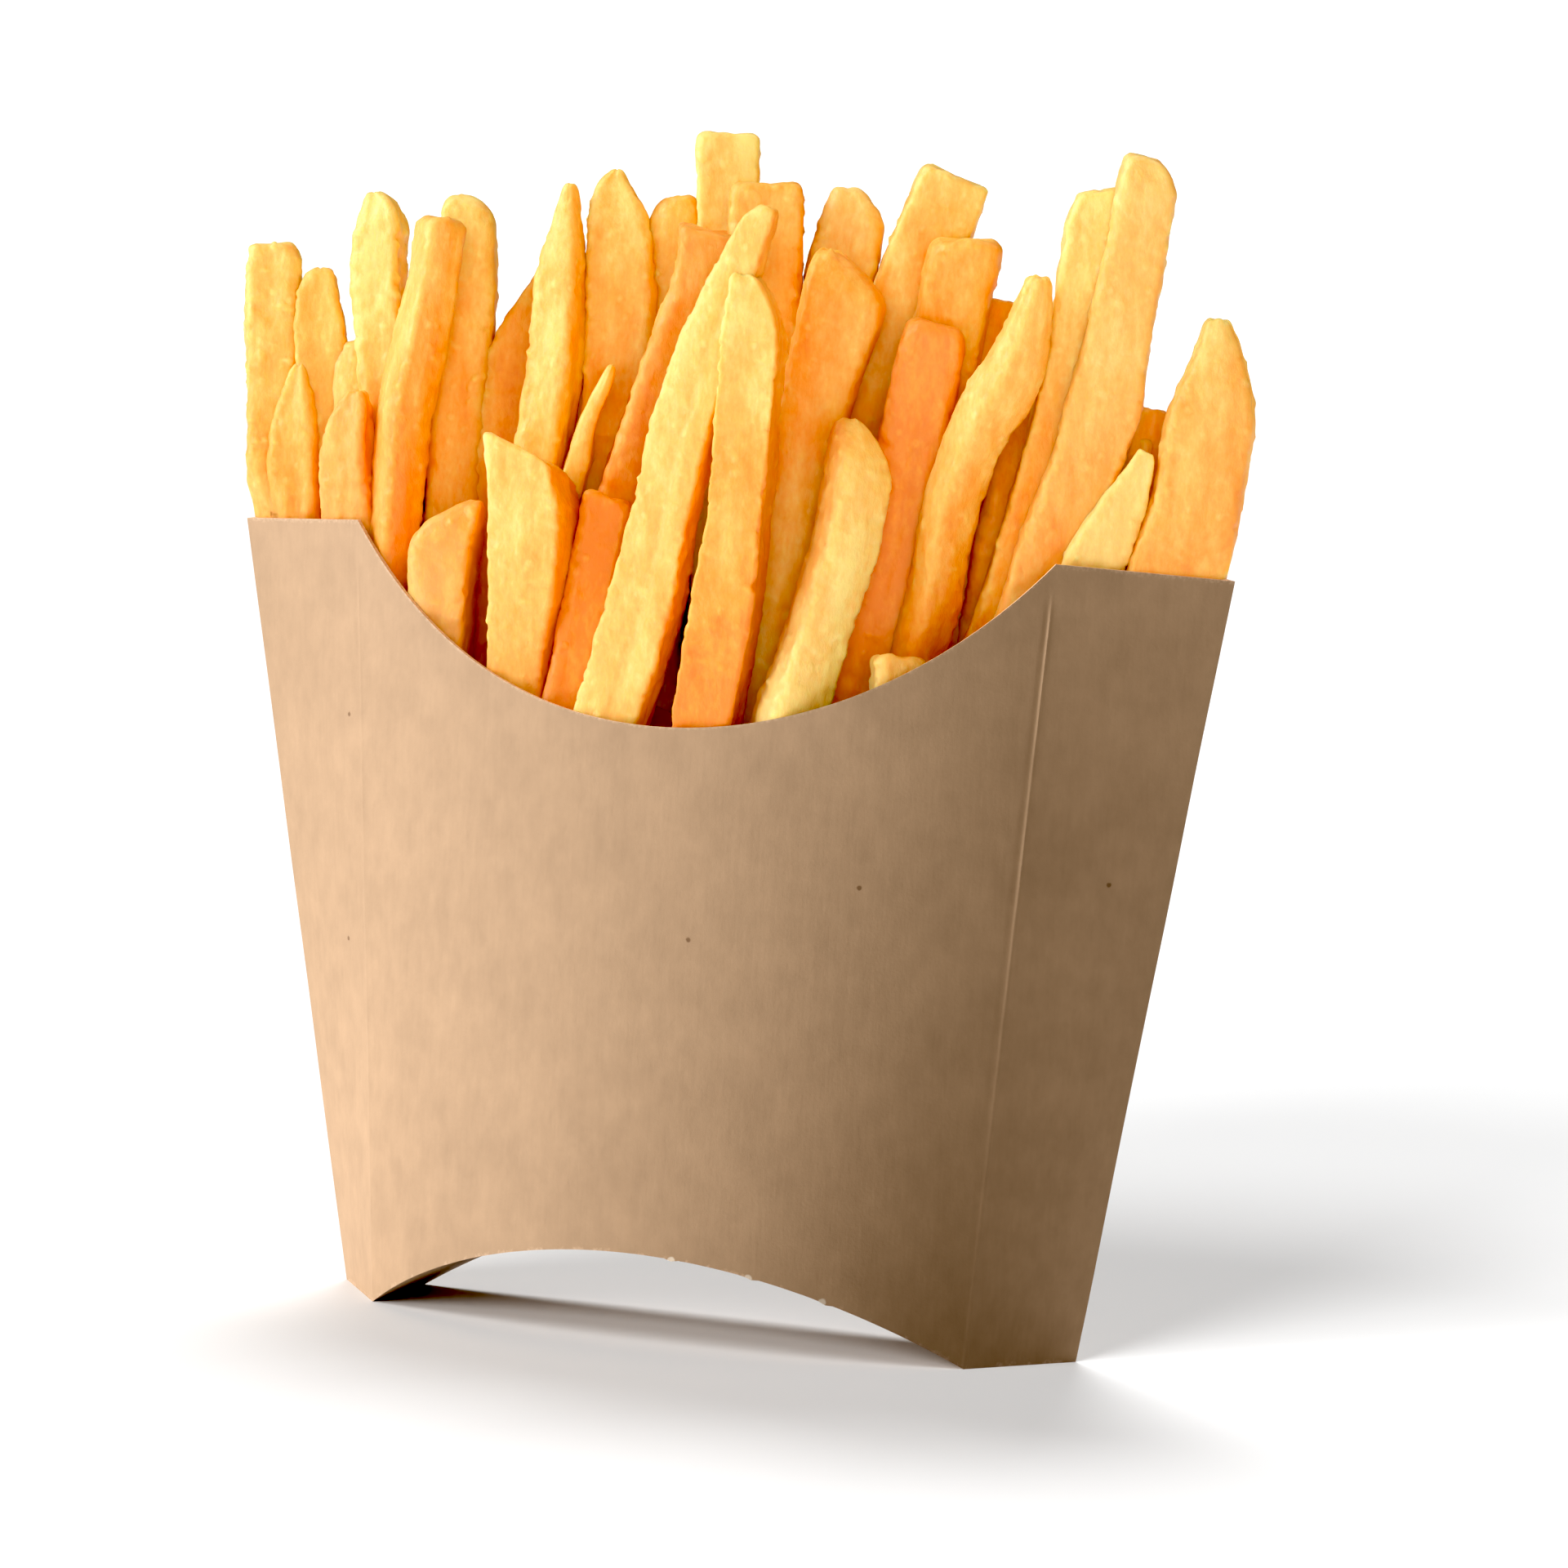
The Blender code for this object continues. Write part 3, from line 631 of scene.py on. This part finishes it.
def fry_mesh(spec, seed):
    """Rings of points up one stick, and the tint of each point."""
    chance = Random(seed)
    tip, foot = np.array(spec["tip"], float), np.array(spec["foot"], float)
    axis = (tip - foot) / np.linalg.norm(tip - foot)
    foot_z = float(scoop_edge(max(-1.0, min(1.0, foot[0] / FRONT_TOP_X)))) - spec["depth_in"]
    foot = tip - axis * ((tip[2] - foot_z) / axis[2])
    length = np.linalg.norm(tip - foot)
    sideways = unit(np.cross((0, 1, 0), axis))
    middle = (foot + tip) / 2 + sideways * 2 * spec["bow"]

    body = np.linspace(0, 1 - END_ROUND / length, int(length / spec["step"]))
    quarter = np.linspace(0, pi / 2, END_RINGS + 1)[1:]
    shares = np.concatenate((body, 1 - END_ROUND * (1 - np.sin(quarter)) / length))
    ending = np.concatenate((np.zeros(len(body)), 1 - np.cos(quarter)))
    down = (1 - shares) * length
    size, shift = profile(spec["shape"], 1, down), profile(spec["shape"], 2, down)
    s = shares[:, None]
    centre = foot * (1 - s) ** 2 + middle * 2 * s * (1 - s) + tip * s**2
    along = unit((middle - foot) * (1 - s) + (tip - middle) * s)
    right = unit(np.cross((0.0, 1.0, 0.0), along))
    forward = np.cross(right, along)
    centre = centre + right * shift[:, None]
    angle = np.radians(spec["turn"] + spec["twist"] * (1 - s))
    across = right * np.cos(angle) - forward * np.sin(angle)
    deep = forward * np.cos(angle) + right * np.sin(angle)

    half, thick = spec["width"] / 2 * size, spec["depth"] / 2 * size**DEPTH_POWER
    inset = ending * np.minimum(END_ROUND, END_SHARE * np.minimum(half, thick))
    half, thick = half - inset, thick - inset
    radii = [CORNER_RADIUS * spec["edge"] * chance.uniform(*CORNER_SPREAD) for _ in CORNERS]
    x, y, out_x, out_y, crown = section_rings(half, thick, radii)
    near_tip = np.maximum(0, 1 - down / (CUT_REACH * spec["width"]))[:, None]
    lift = near_tip * (spec["rise"] * x / spec["width"] + spec["nod"] * y / spec["depth"])
    points = centre[:, None] + across[:, None] * x[..., None] + deep[:, None] * y[..., None]
    points = points + along[:, None] * lift[..., None]
    out = across[:, None] * out_x[None, :, None] + deep[:, None] * out_y[None, :, None]
    rounding = ending[:, None, None]
    out = unit(out * (1 - rounding * END_TURN) + along[:, None] * rounding)

    rough = spec["rough"]
    small = np.minimum(1, half / SLIM_HALF_WIDTH)[:, None]
    swell = chance.uniform(*CROWN_SPREAD) * crown
    lumps = skin_noise(points, LUMP_SIZE, seed) * LUMP_HEIGHT * small
    streaks = skin_noise(points, STREAK_SIZE, seed + 0.6, STREAK_LENGTH) * STREAK_HEIGHT * rough
    pebbles = skin_noise(points, PEBBLE_SIZE, seed + 0.5) * PEBBLE_HEIGHT * rough * small
    blisters = np.maximum(0, skin_noise(points, BLISTER_SIZE, seed + 0.8) - BLISTER_LEVEL)
    blisters = blisters * BLISTER_HEIGHT * rough * small
    dents = np.minimum(0, skin_noise(points, DENT_SIZE, seed + 0.3) - DENT_LEVEL)
    dents = dents * DENT_DEPTH * (1 - crown) ** 2 * small
    height = swell + lumps + streaks + pebbles + blisters + dents
    if spec["groove"]:
        place, depth = spec["groove"]
        deepness = depth * smooth(GROOVE_START, GROOVE_FULL, down)[:, None]
        beside = (x / half[:, None] - place) / GROOVE_SHARE
        height = height - deepness * np.exp(-(beside**2)) * (out_y > 0.9)
    points = keep_inside(points + out * height[..., None])

    # Lower in the carton the tone runs towards the foot tone: partly each stick's own colour, partly
    # painted shade deep in the carton.
    foot_tone = spec["tone"] if spec["foot_tone"] is None else spec["foot_tone"]
    visible = np.clip((points[..., 2] - SCOOP_LOW_Z) / (tip[2] - SCOOP_LOW_Z), 0, 1)
    tone = mix(foot_tone, spec["tone"], visible)
    # Painted shade on the right and left faces: a deeper orange tone there, and a paler one where side or
    # left is below zero.
    tone = tone + spec["side"] * np.maximum(0, out[..., 0]) ** SIDE_POWER
    tone = tone + spec["left"] * np.maximum(0, -out[..., 0]) ** SIDE_POWER
    tone = tone + TONE_CHANGE * skin_noise(points, PATCH_SIZE, seed + 0.1, PATCH_LENGTH)
    tone = tone - BLISTER_PALER * blisters - STREAK_PALER * streaks
    tone = tone + TONE_CHANGE * skin_noise(points, FIBRE_SIZE, seed + 0.2, FIBRE_LENGTH)
    raw = spec["raw"] * (1 - RAW_FADE * visible) * np.ones_like(tone)
    pink = spec["pink"] * np.ones_like(tone)
    looks = np.stack((np.clip(tone, 0, 1), raw, pink, spec["shade"] * np.ones_like(tone)), axis=-1)
    return points, looks


def rear_row():
    """The row of plain sticks along the back panel."""
    chance = Random(REAR_SEED)
    sticks = []
    for i in range(REAR_COUNT):
        x = mix(-REAR_HALF_LENGTH, REAR_HALF_LENGTH, i / (REAR_COUNT - 1))
        y = float(wall_limits(x, REAR_FOOT_Z)[1]) - REAR_WALL_GAP
        tip = (x + REAR_LEAN * x + chance.uniform(-2, 2), y + 1.0, chance.uniform(*REAR_TIP_Z))
        width = chance.uniform(*REAR_WIDTH)
        shape = ((0, chance.uniform(0.5, 0.9), 0), (chance.uniform(2, 7), 1, 0))
        sticks.append(
            fry((x, y, REAR_FOOT_Z), tip, width, REAR_DEPTH, turn=REAR_TURN * x, bow=chance.uniform(-1, 1),
                shape=shape, tone=chance.uniform(*REAR_TONE), step=COARSE_STEP)
        )
    return sticks


def filler():
    """Short sticks low down, darkened by painted shade: a front row that stays below the scooped edge, and
    one behind it.
    """
    chance = Random(FILLER_SEED)
    sticks = []
    for x in np.arange(FILLER_LEFT, FILLER_RIGHT, FILLER_STEP):
        low, high, _ = wall_limits(float(x), FILLER_LEVEL_Z)
        for share in FILLER_ROWS:
            y = mix(float(low), float(high), share + chance.uniform(-0.08, 0.08))
            place = float(x) + chance.uniform(-2.5, 2.5)
            rim = float(scoop_edge(max(-1.0, min(1.0, place / FRONT_TOP_X))))
            top = rim - chance.uniform(1, 5) if share < 0.5 else chance.uniform(*FILLER_BACK_TIP_Z)
            tip = (place * FILLER_LEAN + chance.uniform(-2, 2), y, top)
            sticks.append(
                fry((place, y, FILLER_FOOT_Z), tip, chance.uniform(*FILLER_WIDTH), FILLER_DEPTH,
                    turn=chance.uniform(*FILLER_TURN), shape=BLUNT, tone=FILLER_TONE_AND_SHADE, shade=LOW_SHADE,
                    depth_in=FILLER_REACH, step=COARSE_STEP)
            )
    return sticks


def make_core():
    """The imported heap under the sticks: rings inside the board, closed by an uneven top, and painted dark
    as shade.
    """
    rings = []
    around = 2 * pi * np.linspace(0, 1, CORE_POINTS, endpoint=False)
    for z, share in CORE_RINGS:
        inside = float(wall_limits(0.0, z)[2]) - CORE_SIDE_GAP
        x = inside * np.cos(around)
        low, high, _ = wall_limits(x, z)
        middle, reach = (low + high) / 2, np.maximum((high - low) / 2 - CORE_GAP, CORE_LEAST_REACH)
        y = middle + reach * np.sign(np.sin(around)) * np.abs(np.sin(around)) ** CORE_CORNERS
        centre = (FRONT_Y + BACK_TOP_Y) / 2
        rings.append(np.stack((x * share, mix(centre, y, share), np.full(CORE_POINTS, float(z))), axis=-1))
    points = np.array(rings)
    uneven = points[CORE_UNEVEN_FROM:]
    uneven[..., 2] += CORE_LUMP_HEIGHT * skin_noise(uneven, CORE_LUMP_SIZE, CORE_SEED)
    # Deep orange, darkened by painted shade.
    looks = np.zeros((*points.shape[:2], 4))
    looks[..., 0] = 1.0
    looks[..., 3] = HEAP_SHADE
    return points, looks


def add_piece(name, lofts, finish):
    """One piece of many lofts, each closed at both ends. Look is each point's tone (partly painted shade),
    raw, pink and painted shade.
    """
    corners, faces, looks, start = [], [], [], 0
    for points, tint in lofts:
        rings, count = points.shape[:2]
        corners.append(points.reshape(-1, 3))
        corners.append(points[0].mean(axis=0)[None])
        corners.append(points[-1].mean(axis=0)[None])
        looks.append(tint.reshape(-1, 4))
        looks.append(tint[0].mean(axis=0)[None])
        looks.append(tint[-1].mean(axis=0)[None])
        for i in range(rings - 1):
            low = start + i * count
            for j in range(count):
                k = (j + 1) % count
                faces.append((low + j, low + k, low + count + k, low + count + j))
        bottom, top = start + rings * count, start + rings * count + 1
        last = start + (rings - 1) * count
        for j in range(count):
            k = (j + 1) % count
            faces.append((start + k, start + j, bottom))
            faces.append((last + j, last + k, top))
        start = top + 1
    mesh = bpy.data.meshes.new(name)
    mesh.from_pydata((np.concatenate(corners) * MM).tolist(), [], faces)
    colours = mesh.color_attributes.new("Look", "FLOAT_COLOR", "POINT")
    colours.data.foreach_set("color", np.concatenate(looks).astype(np.float32).ravel())
    mesh.shade_smooth()
    mesh.materials.append(finish)
    made = bpy.data.objects.new(name, mesh)
    bpy.context.scene.collection.objects.link(made)
    return made


# ---------------------------------------------------------------- materials

class Nodes:
    """A short way to write a material's nodes. Scales count per metre, as the materials' places do."""

    def __init__(self, name):
        self.material = bpy.data.materials.new(name)
        self.material.use_nodes = True
        self.tree = self.material.node_tree
        self.shader = self.tree.nodes["Principled BSDF"]

    def add(self, kind, settings=None, **inputs):
        node = self.tree.nodes.new(kind)
        for key, value in (settings or {}).items():
            setattr(node, key, value)
        for key, value in inputs.items():
            self.put(node, key.replace("_", " "), value)
        return node

    def put(self, node, key, value):
        socket = node.inputs[int(key)] if key.isdigit() else node.inputs[key]
        if isinstance(value, bpy.types.NodeSocket):
            self.tree.links.new(value, socket)
        else:
            socket.default_value = value

    def noise(self, place, scale, detail, roughness=0.5):
        node = self.add("ShaderNodeTexNoise", Vector=place, Scale=scale, Detail=detail, Roughness=roughness)
        return node.outputs["Fac"]

    def range(self, value, low, high, to_low=0.0, to_high=1.0):
        node = self.add("ShaderNodeMapRange")
        for key, number in zip(("Value", "From Min", "From Max", "To Min", "To Max"),
                               (value, low, high, to_low, to_high)):
            self.put(node, key, number)
        return node.outputs["Result"]

    def math(self, operation, first, second):
        node = self.add("ShaderNodeMath", {"operation": operation})
        self.put(node, "0", first)
        self.put(node, "1", second)
        return node.outputs[0]

    def blend(self, first, second, share):
        node = self.add("ShaderNodeMix", {"data_type": "RGBA"})
        self.tree.links.new(share, node.inputs[0])
        for index, value in ((6, first), (7, second)):
            if isinstance(value, bpy.types.NodeSocket):
                self.tree.links.new(value, node.inputs[index])
            else:
                node.inputs[index].default_value = (*value, 1.0)
        return node.outputs[2]

    def stretched(self, place, scale):
        return self.add("ShaderNodeMapping", Vector=place, Scale=scale).outputs["Vector"]


# Most of a noise texture lies between these.
NOISE_LOW = 0.3
NOISE_HIGH = 0.7

# Kraft board: its colours, how much each layer of its mottling counts, and its specks. Their radius, blur
# and unevenness are in metres, as in the nodes.
KRAFT = (0.41, 0.272, 0.169)
LIGHTER = 1.12
DARKER = 0.88
WORN_LIGHTER = (1.45, 1.5, 1.6)
CUT_EDGE_LIGHTER = 1.6
CLOUD_SHARE = 0.45
FLECK_SHARE = 0.4
UPRIGHT_SHARE = 0.15
SPECKS = [
    (-46.9, -4.9, 73.6), (26.0, -14.0, 58.2), (5.8, -18.1, 50.6), (52.9, -0.2, 59.6), (-46.4, -3.5, 45.2),
]
SPECK_RADIUS = 0.00032
SPECK_COLOUR = (0.16, 0.09, 0.05)
PALE_SPOTS = [(6.0, -19.5, 11.6), (15.5, -18.0, 10.2), (24.2, -15.4, 7.8)]
PALE_SPOT_RADIUS = 0.0005
PALE_SPOT_COLOUR = (0.78, 0.66, 0.52)
SPOT_BLUR = 0.00015
SPOT_UNEVEN = 0.0002
SPOT_STRENGTH = 0.75

# Fried potato: its colours, how far each layer of its mottling moves the tone, and how deep light goes.
FRY_PALE = (0.97, 0.75, 0.29)
FRY_GOLD = (0.96, 0.565, 0.17)
FRY_ORANGE = (0.94, 0.41, 0.095)
FRY_DEEP = (0.87, 0.3, 0.075)
# The near black that painted shade darkens the sticks and the heap towards.
FRY_PAINTED_SHADE = (0.12, 0.03, 0.005)
FRY_RAW = (0.90, 0.78, 0.36)
FRY_PINK = (0.92, 0.42, 0.20)
GOLD_TONE = 0.35
ORANGE_TONE = 0.7
PATCH_TONE = 0.13
FINE_TONE = 0.12
STREAK_TONE = 0.12
SPOT_TONE = 0.25
GLOW_DEPTH = 0.0026
GLOW_REACH = (1.0, 0.5, 0.15)


def scaled(colour, by):
    """A colour made lighter or darker, each channel by its own factor."""
    return tuple(min(1.0, channel * factor) for channel, factor in zip(colour, by))


def kraft_material(name, base):
    """Kraft board: brown, faintly mottled, with upright fibres, a few dark specks and pale worn creases."""
    n = Nodes(name)
    place = n.add("ShaderNodeTexCoord").outputs["Object"]
    light, dark = scaled(base, [LIGHTER] * 3), scaled(base, [DARKER] * 3)
    pale = scaled(base, WORN_LIGHTER)
    clouds = n.noise(place, scale=110.0, detail=4.0, roughness=0.6)
    flecks = n.noise(n.stretched(place, (1.0, 1.0, 0.6)), scale=420.0, detail=3.0, roughness=0.6)
    fibres = n.noise(n.stretched(place, (1.0, 1.0, 0.12)), scale=1500.0, detail=2.0, roughness=0.6)
    grain = n.noise(place, scale=2600.0, detail=2.0)
    level = n.math("ADD", n.math("MULTIPLY", clouds, CLOUD_SHARE), n.math("MULTIPLY", flecks, FLECK_SHARE))
    level = n.math("ADD", level, n.math("MULTIPLY", fibres, UPRIGHT_SHARE))
    colour = n.blend(dark, light, n.range(level, NOISE_LOW, NOISE_HIGH))
    wear = n.add("ShaderNodeAttribute", {"attribute_name": "Wear"}).outputs["Fac"]
    worn = n.range(n.math("MULTIPLY", wear, grain), low=0.3, high=0.6, to_high=0.7)
    colour = n.blend(colour, pale, worn)
    for spots, radius, tint in (
        (SPECKS, SPECK_RADIUS, SPECK_COLOUR), (PALE_SPOTS, PALE_SPOT_RADIUS, PALE_SPOT_COLOUR),
    ):
        for spot in spots:
            middle = tuple(c * MM for c in spot)
            away = n.add("ShaderNodeVectorMath", {"operation": "DISTANCE"}, **{"0": place, "1": middle})
            away = n.math("ADD", away.outputs["Value"], n.math("MULTIPLY", grain, SPOT_UNEVEN))
            inside = n.range(away, radius, radius + SPOT_BLUR, to_low=1.0, to_high=0.0)
            colour = n.blend(colour, tint, n.math("MULTIPLY", inside, SPOT_STRENGTH))
    n.put(n.shader, "Base Color", colour)
    n.shader.inputs["Roughness"].default_value = 0.72
    n.shader.inputs["Specular IOR Level"].default_value = 0.25
    bump = n.add("ShaderNodeBump", Strength=0.15, Distance=0.0001, Height=n.math("ADD", fibres, grain))
    n.put(n.shader, "Normal", bump.outputs["Normal"])
    return n.material


def fry_material():
    """Fried potato: from pale yellow to deep orange as painted, mottled, with small pale blisters, and
    darkened towards a near black where the Look paints shade.
    """
    n = Nodes("fried_potato_skin")
    place = n.add("ShaderNodeTexCoord").outputs["Object"]
    look = n.add("ShaderNodeAttribute", {"attribute_name": "Look"}).outputs["Color"]
    parts = n.add("ShaderNodeSeparateColor", Color=look).outputs
    shade = n.add("ShaderNodeAttribute", {"attribute_name": "Look"}).outputs["Alpha"]
    patches = n.noise(n.stretched(place, (1.0, 1.0, 0.5)), scale=300.0, detail=3.0, roughness=0.55)
    fine = n.noise(n.stretched(place, (1.0, 1.0, 0.45)), scale=1500.0, detail=3.0, roughness=0.65)
    streaks = n.noise(n.stretched(place, (1.0, 1.0, 0.22)), scale=420.0, detail=2.0, roughness=0.55)
    cells = n.add("ShaderNodeTexVoronoi", {"feature": "SMOOTH_F1"}, Vector=place, Scale=520.0,
                  Smoothness=0.4)
    spots = n.range(cells.outputs["Distance"], low=0.12, high=0.34, to_low=1.0, to_high=0.0)
    spots = n.math("MULTIPLY", spots, n.range(patches, low=0.5, high=0.62))
    tone = parts["Red"]
    for layer, reach in ((patches, PATCH_TONE), (fine, FINE_TONE), (streaks, STREAK_TONE)):
        tone = n.math("ADD", tone, n.range(layer, NOISE_LOW, NOISE_HIGH, -reach, reach))
    tone = n.math("SUBTRACT", tone, n.math("MULTIPLY", spots, SPOT_TONE))
    ramp = n.add("ShaderNodeValToRGB", Fac=tone)
    stops = ramp.color_ramp.elements
    stops[0].position, stops[0].color = 0.0, (*FRY_PALE, 1.0)
    stops[1].position, stops[1].color = 1.0, (*FRY_DEEP, 1.0)
    for position, colour in ((GOLD_TONE, FRY_GOLD), (ORANGE_TONE, FRY_ORANGE)):
        stops.new(position).color = (*colour, 1.0)
    colour = n.blend(ramp.outputs["Color"], FRY_RAW, parts["Green"])
    colour = n.blend(colour, FRY_PINK, parts["Blue"])
    # Painted shade: the Look's shade darkens the colour towards a near black deep in the heap.
    colour = n.blend(FRY_PAINTED_SHADE, colour, shade)
    n.put(n.shader, "Base Color", colour)
    n.shader.inputs["Roughness"].default_value = 0.45
    n.shader.inputs["Specular IOR Level"].default_value = 0.4
    n.shader.inputs["Subsurface Weight"].default_value = 0.5
    n.shader.inputs["Subsurface Radius"].default_value = GLOW_REACH
    n.shader.inputs["Subsurface Scale"].default_value = GLOW_DEPTH
    height = n.math("ADD", n.math("MULTIPLY", fine, 0.6), n.math("MULTIPLY", spots, 0.5))
    height = n.math("ADD", height, n.math("MULTIPLY", streaks, 0.2))
    bump = n.add("ShaderNodeBump", Strength=0.7, Distance=0.0003, Height=height)
    n.put(n.shader, "Normal", bump.outputs["Normal"])
    return n.material


# ---------------------------------------------------------------- pieces

def make_carton():
    """The carton in one piece: its outer skin with the board's thickness put on inwards."""
    bm = bmesh.new()
    carton_skin(bm)
    bmesh.ops.scale(bm, vec=(MM, MM, MM), verts=bm.verts)
    mesh = bpy.data.meshes.new("kraft_carton")
    bm.to_mesh(mesh)
    bm.free()
    mesh.materials.append(kraft_material("kraft_face", KRAFT))
    mesh.materials.append(kraft_material("kraft_cut_edge", scaled(KRAFT, [CUT_EDGE_LIGHTER] * 3)))
    made = bpy.data.objects.new("kraft_carton", mesh)
    bpy.context.scene.collection.objects.link(made)
    thickness = made.modifiers.new("Board", "SOLIDIFY")
    thickness.thickness = BOARD * MM
    thickness.offset = -1.0
    thickness.use_even_offset = True
    thickness.material_offset_rim = 1
    return made


# ---------------------------------------------------------------- stage

CAMERA_AZIMUTH = 21.4
CAMERA_ELEVATION = 4.9
CAMERA_ROLL = 2.6
CAMERA_DISTANCE = 752.4
CAMERA_TARGET = (12.8, FRONT_Y, 69.3)
CAMERA_LENS = 141.8
SENSOR_WIDTH = 36.0
FLOOR_SIZE = 12.0
FLOOR_GREY = 0.76
BACKDROP_LIGHT = 1.2
ROOM_LIGHT = 0.02
BLACK_LEVEL = 0.05


def from_angles(azimuth, elevation):
    """Unit vector towards a place seen at this azimuth, from the front to the right, and elevation."""
    a, e = radians(azimuth), radians(elevation)
    return Vector((sin(a) * cos(e), -cos(a) * cos(e), sin(e)))


def make_camera():
    """The camera looks at its target from its azimuth and elevation, and leans by its roll."""
    data = bpy.data.cameras.new("camera")
    data.lens = CAMERA_LENS
    data.sensor_width = SENSOR_WIDTH
    data.clip_start = 0.01
    data.clip_end = 20.0
    camera = bpy.data.objects.new("camera", data)
    bpy.context.scene.collection.objects.link(camera)
    back = from_angles(CAMERA_AZIMUTH, CAMERA_ELEVATION)
    right = Vector((0, 0, 1)).cross(back).normalized()
    up = back.cross(right)
    roll = radians(CAMERA_ROLL)
    right, up = right * cos(roll) + up * sin(roll), up * cos(roll) - right * sin(roll)
    turn = Matrix((right, up, back)).transposed().to_4x4()
    camera.matrix_world = Matrix.Translation((Vector(CAMERA_TARGET) + back * CAMERA_DISTANCE) * MM) @ turn
    bpy.context.scene.camera = camera


def soft_sun(name, lit, azimuth, elevation, spread, strength, colour=(1.0, 1.0, 1.0)):
    """Even light from one side on one collection, soft as from a panel that many degrees wide."""
    data = bpy.data.lights.new(name, "SUN")
    data.angle = radians(spread)
    data.energy = strength
    data.color = colour
    light = bpy.data.objects.new(name, data)
    bpy.context.scene.collection.objects.link(light)
    way = from_angles(azimuth, elevation)
    light.location = way
    light.rotation_euler = (-way).to_track_quat("-Z", "Y").to_euler()
    light.light_linking.receiver_collection = lit


def make_stage():
    """A plain pale floor, a backdrop that is seen white, and a little light from all round."""
    bpy.ops.mesh.primitive_plane_add(size=FLOOR_SIZE)
    floor = bpy.context.object
    floor.name = "floor"
    finish = bpy.data.materials.new("pale_floor")
    finish.use_nodes = True
    shader = finish.node_tree.nodes["Principled BSDF"]
    shader.inputs["Base Color"].default_value = (FLOOR_GREY, FLOOR_GREY, FLOOR_GREY, 1.0)
    shader.inputs["Roughness"].default_value = 0.9
    shader.inputs["Specular IOR Level"].default_value = 0.0
    floor.data.materials.append(finish)
    stage.objects.link(floor)
    world = bpy.data.worlds.new("studio")
    world.use_nodes = True
    nodes, links = world.node_tree.nodes, world.node_tree.links
    backdrop = nodes["Background"]
    backdrop.inputs["Color"].default_value = (1.0, 1.0, 1.0, 1.0)
    backdrop.inputs["Strength"].default_value = BACKDROP_LIGHT
    room = nodes.new("ShaderNodeBackground")
    room.inputs["Color"].default_value = (1.0, 1.0, 1.0, 1.0)
    room.inputs["Strength"].default_value = ROOM_LIGHT
    seen = nodes.new("ShaderNodeLightPath")
    either = nodes.new("ShaderNodeMixShader")
    links.new(seen.outputs["Is Camera Ray"], either.inputs[0])
    links.new(room.outputs[0], either.inputs[1])
    links.new(backdrop.outputs[0], either.inputs[2])
    links.new(either.outputs[0], nodes["World Output"].inputs["Surface"])
    bpy.context.scene.world = world


def collection(name):
    """A new collection in the scene."""
    made = bpy.data.collections.new(name)
    bpy.context.scene.collection.children.link(made)
    return made


# ---------------------------------------------------------------- scene

# The board, the food and the floor are lit apart, each by its own soft panels: a name, what it lights,
# its azimuth and elevation, how many degrees wide it is, its strength, and its colour where not white.
board, food, stage = collection("board"), collection("food"), collection("stage")
WARM = (1.0, 0.86, 0.6)
AMBER = (1.0, 0.74, 0.42)
CREAM = (1.0, 0.9, 0.7)
PANELS = [
    ("key", board, -61, 42, 36, 3.1),
    ("low_left", board, -61, 15, 18, 3.1),
    ("behind", board, 150, 62, 55, 1.5),
    ("food_key", food, -61, 42, 50, 1.8),
    ("food_low_left", food, -61, 15, 40, 1.3),
    ("food_front", food, 21, 8, 40, 1.3, WARM),
    ("food_fill", food, 50, 25, 60, 0.65, AMBER),
    ("food_behind", food, 150, 62, 55, 1.05, CREAM),
    ("floor_low", stage, -7, 22, 20, 2.8),
    ("floor_front", stage, -25, 45, 25, 1.8),
    ("floor_back", stage, 203, 62, 26, 2.7),
]

settings = bpy.context.scene.view_settings
settings.view_transform = "Standard"
settings.use_curve_mapping = True
settings.curve_mapping.black_level = (BLACK_LEVEL, BLACK_LEVEL, BLACK_LEVEL)
make_camera()
make_stage()
for panel in PANELS:
    soft_sun(*panel)

carton = make_carton()
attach(carton, "root")
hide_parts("carton")
board.objects.link(carton)

fry_finish = fry_material()
first_seed = 1
for name, sticks in (
    ("fries_front", FRONT_ROW),
    ("fries_middle", MIDDLE_ROW),
    ("fries_back", BACK_ROWS[::2]),
    ("fries_far", BACK_ROWS[1::2]),
    ("fries_rear", rear_row()),
    ("fries_low", filler()),
):
    piece = add_piece(name, [fry_mesh(spec, first_seed + i) for i, spec in enumerate(sticks)], fry_finish)
    first_seed += len(sticks)
    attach(piece, "root")
    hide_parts("fries")
    food.objects.link(piece)
core = add_piece("fries_heap", [make_core()], fry_finish)
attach(core, "root")
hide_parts("fries")
food.objects.link(core)
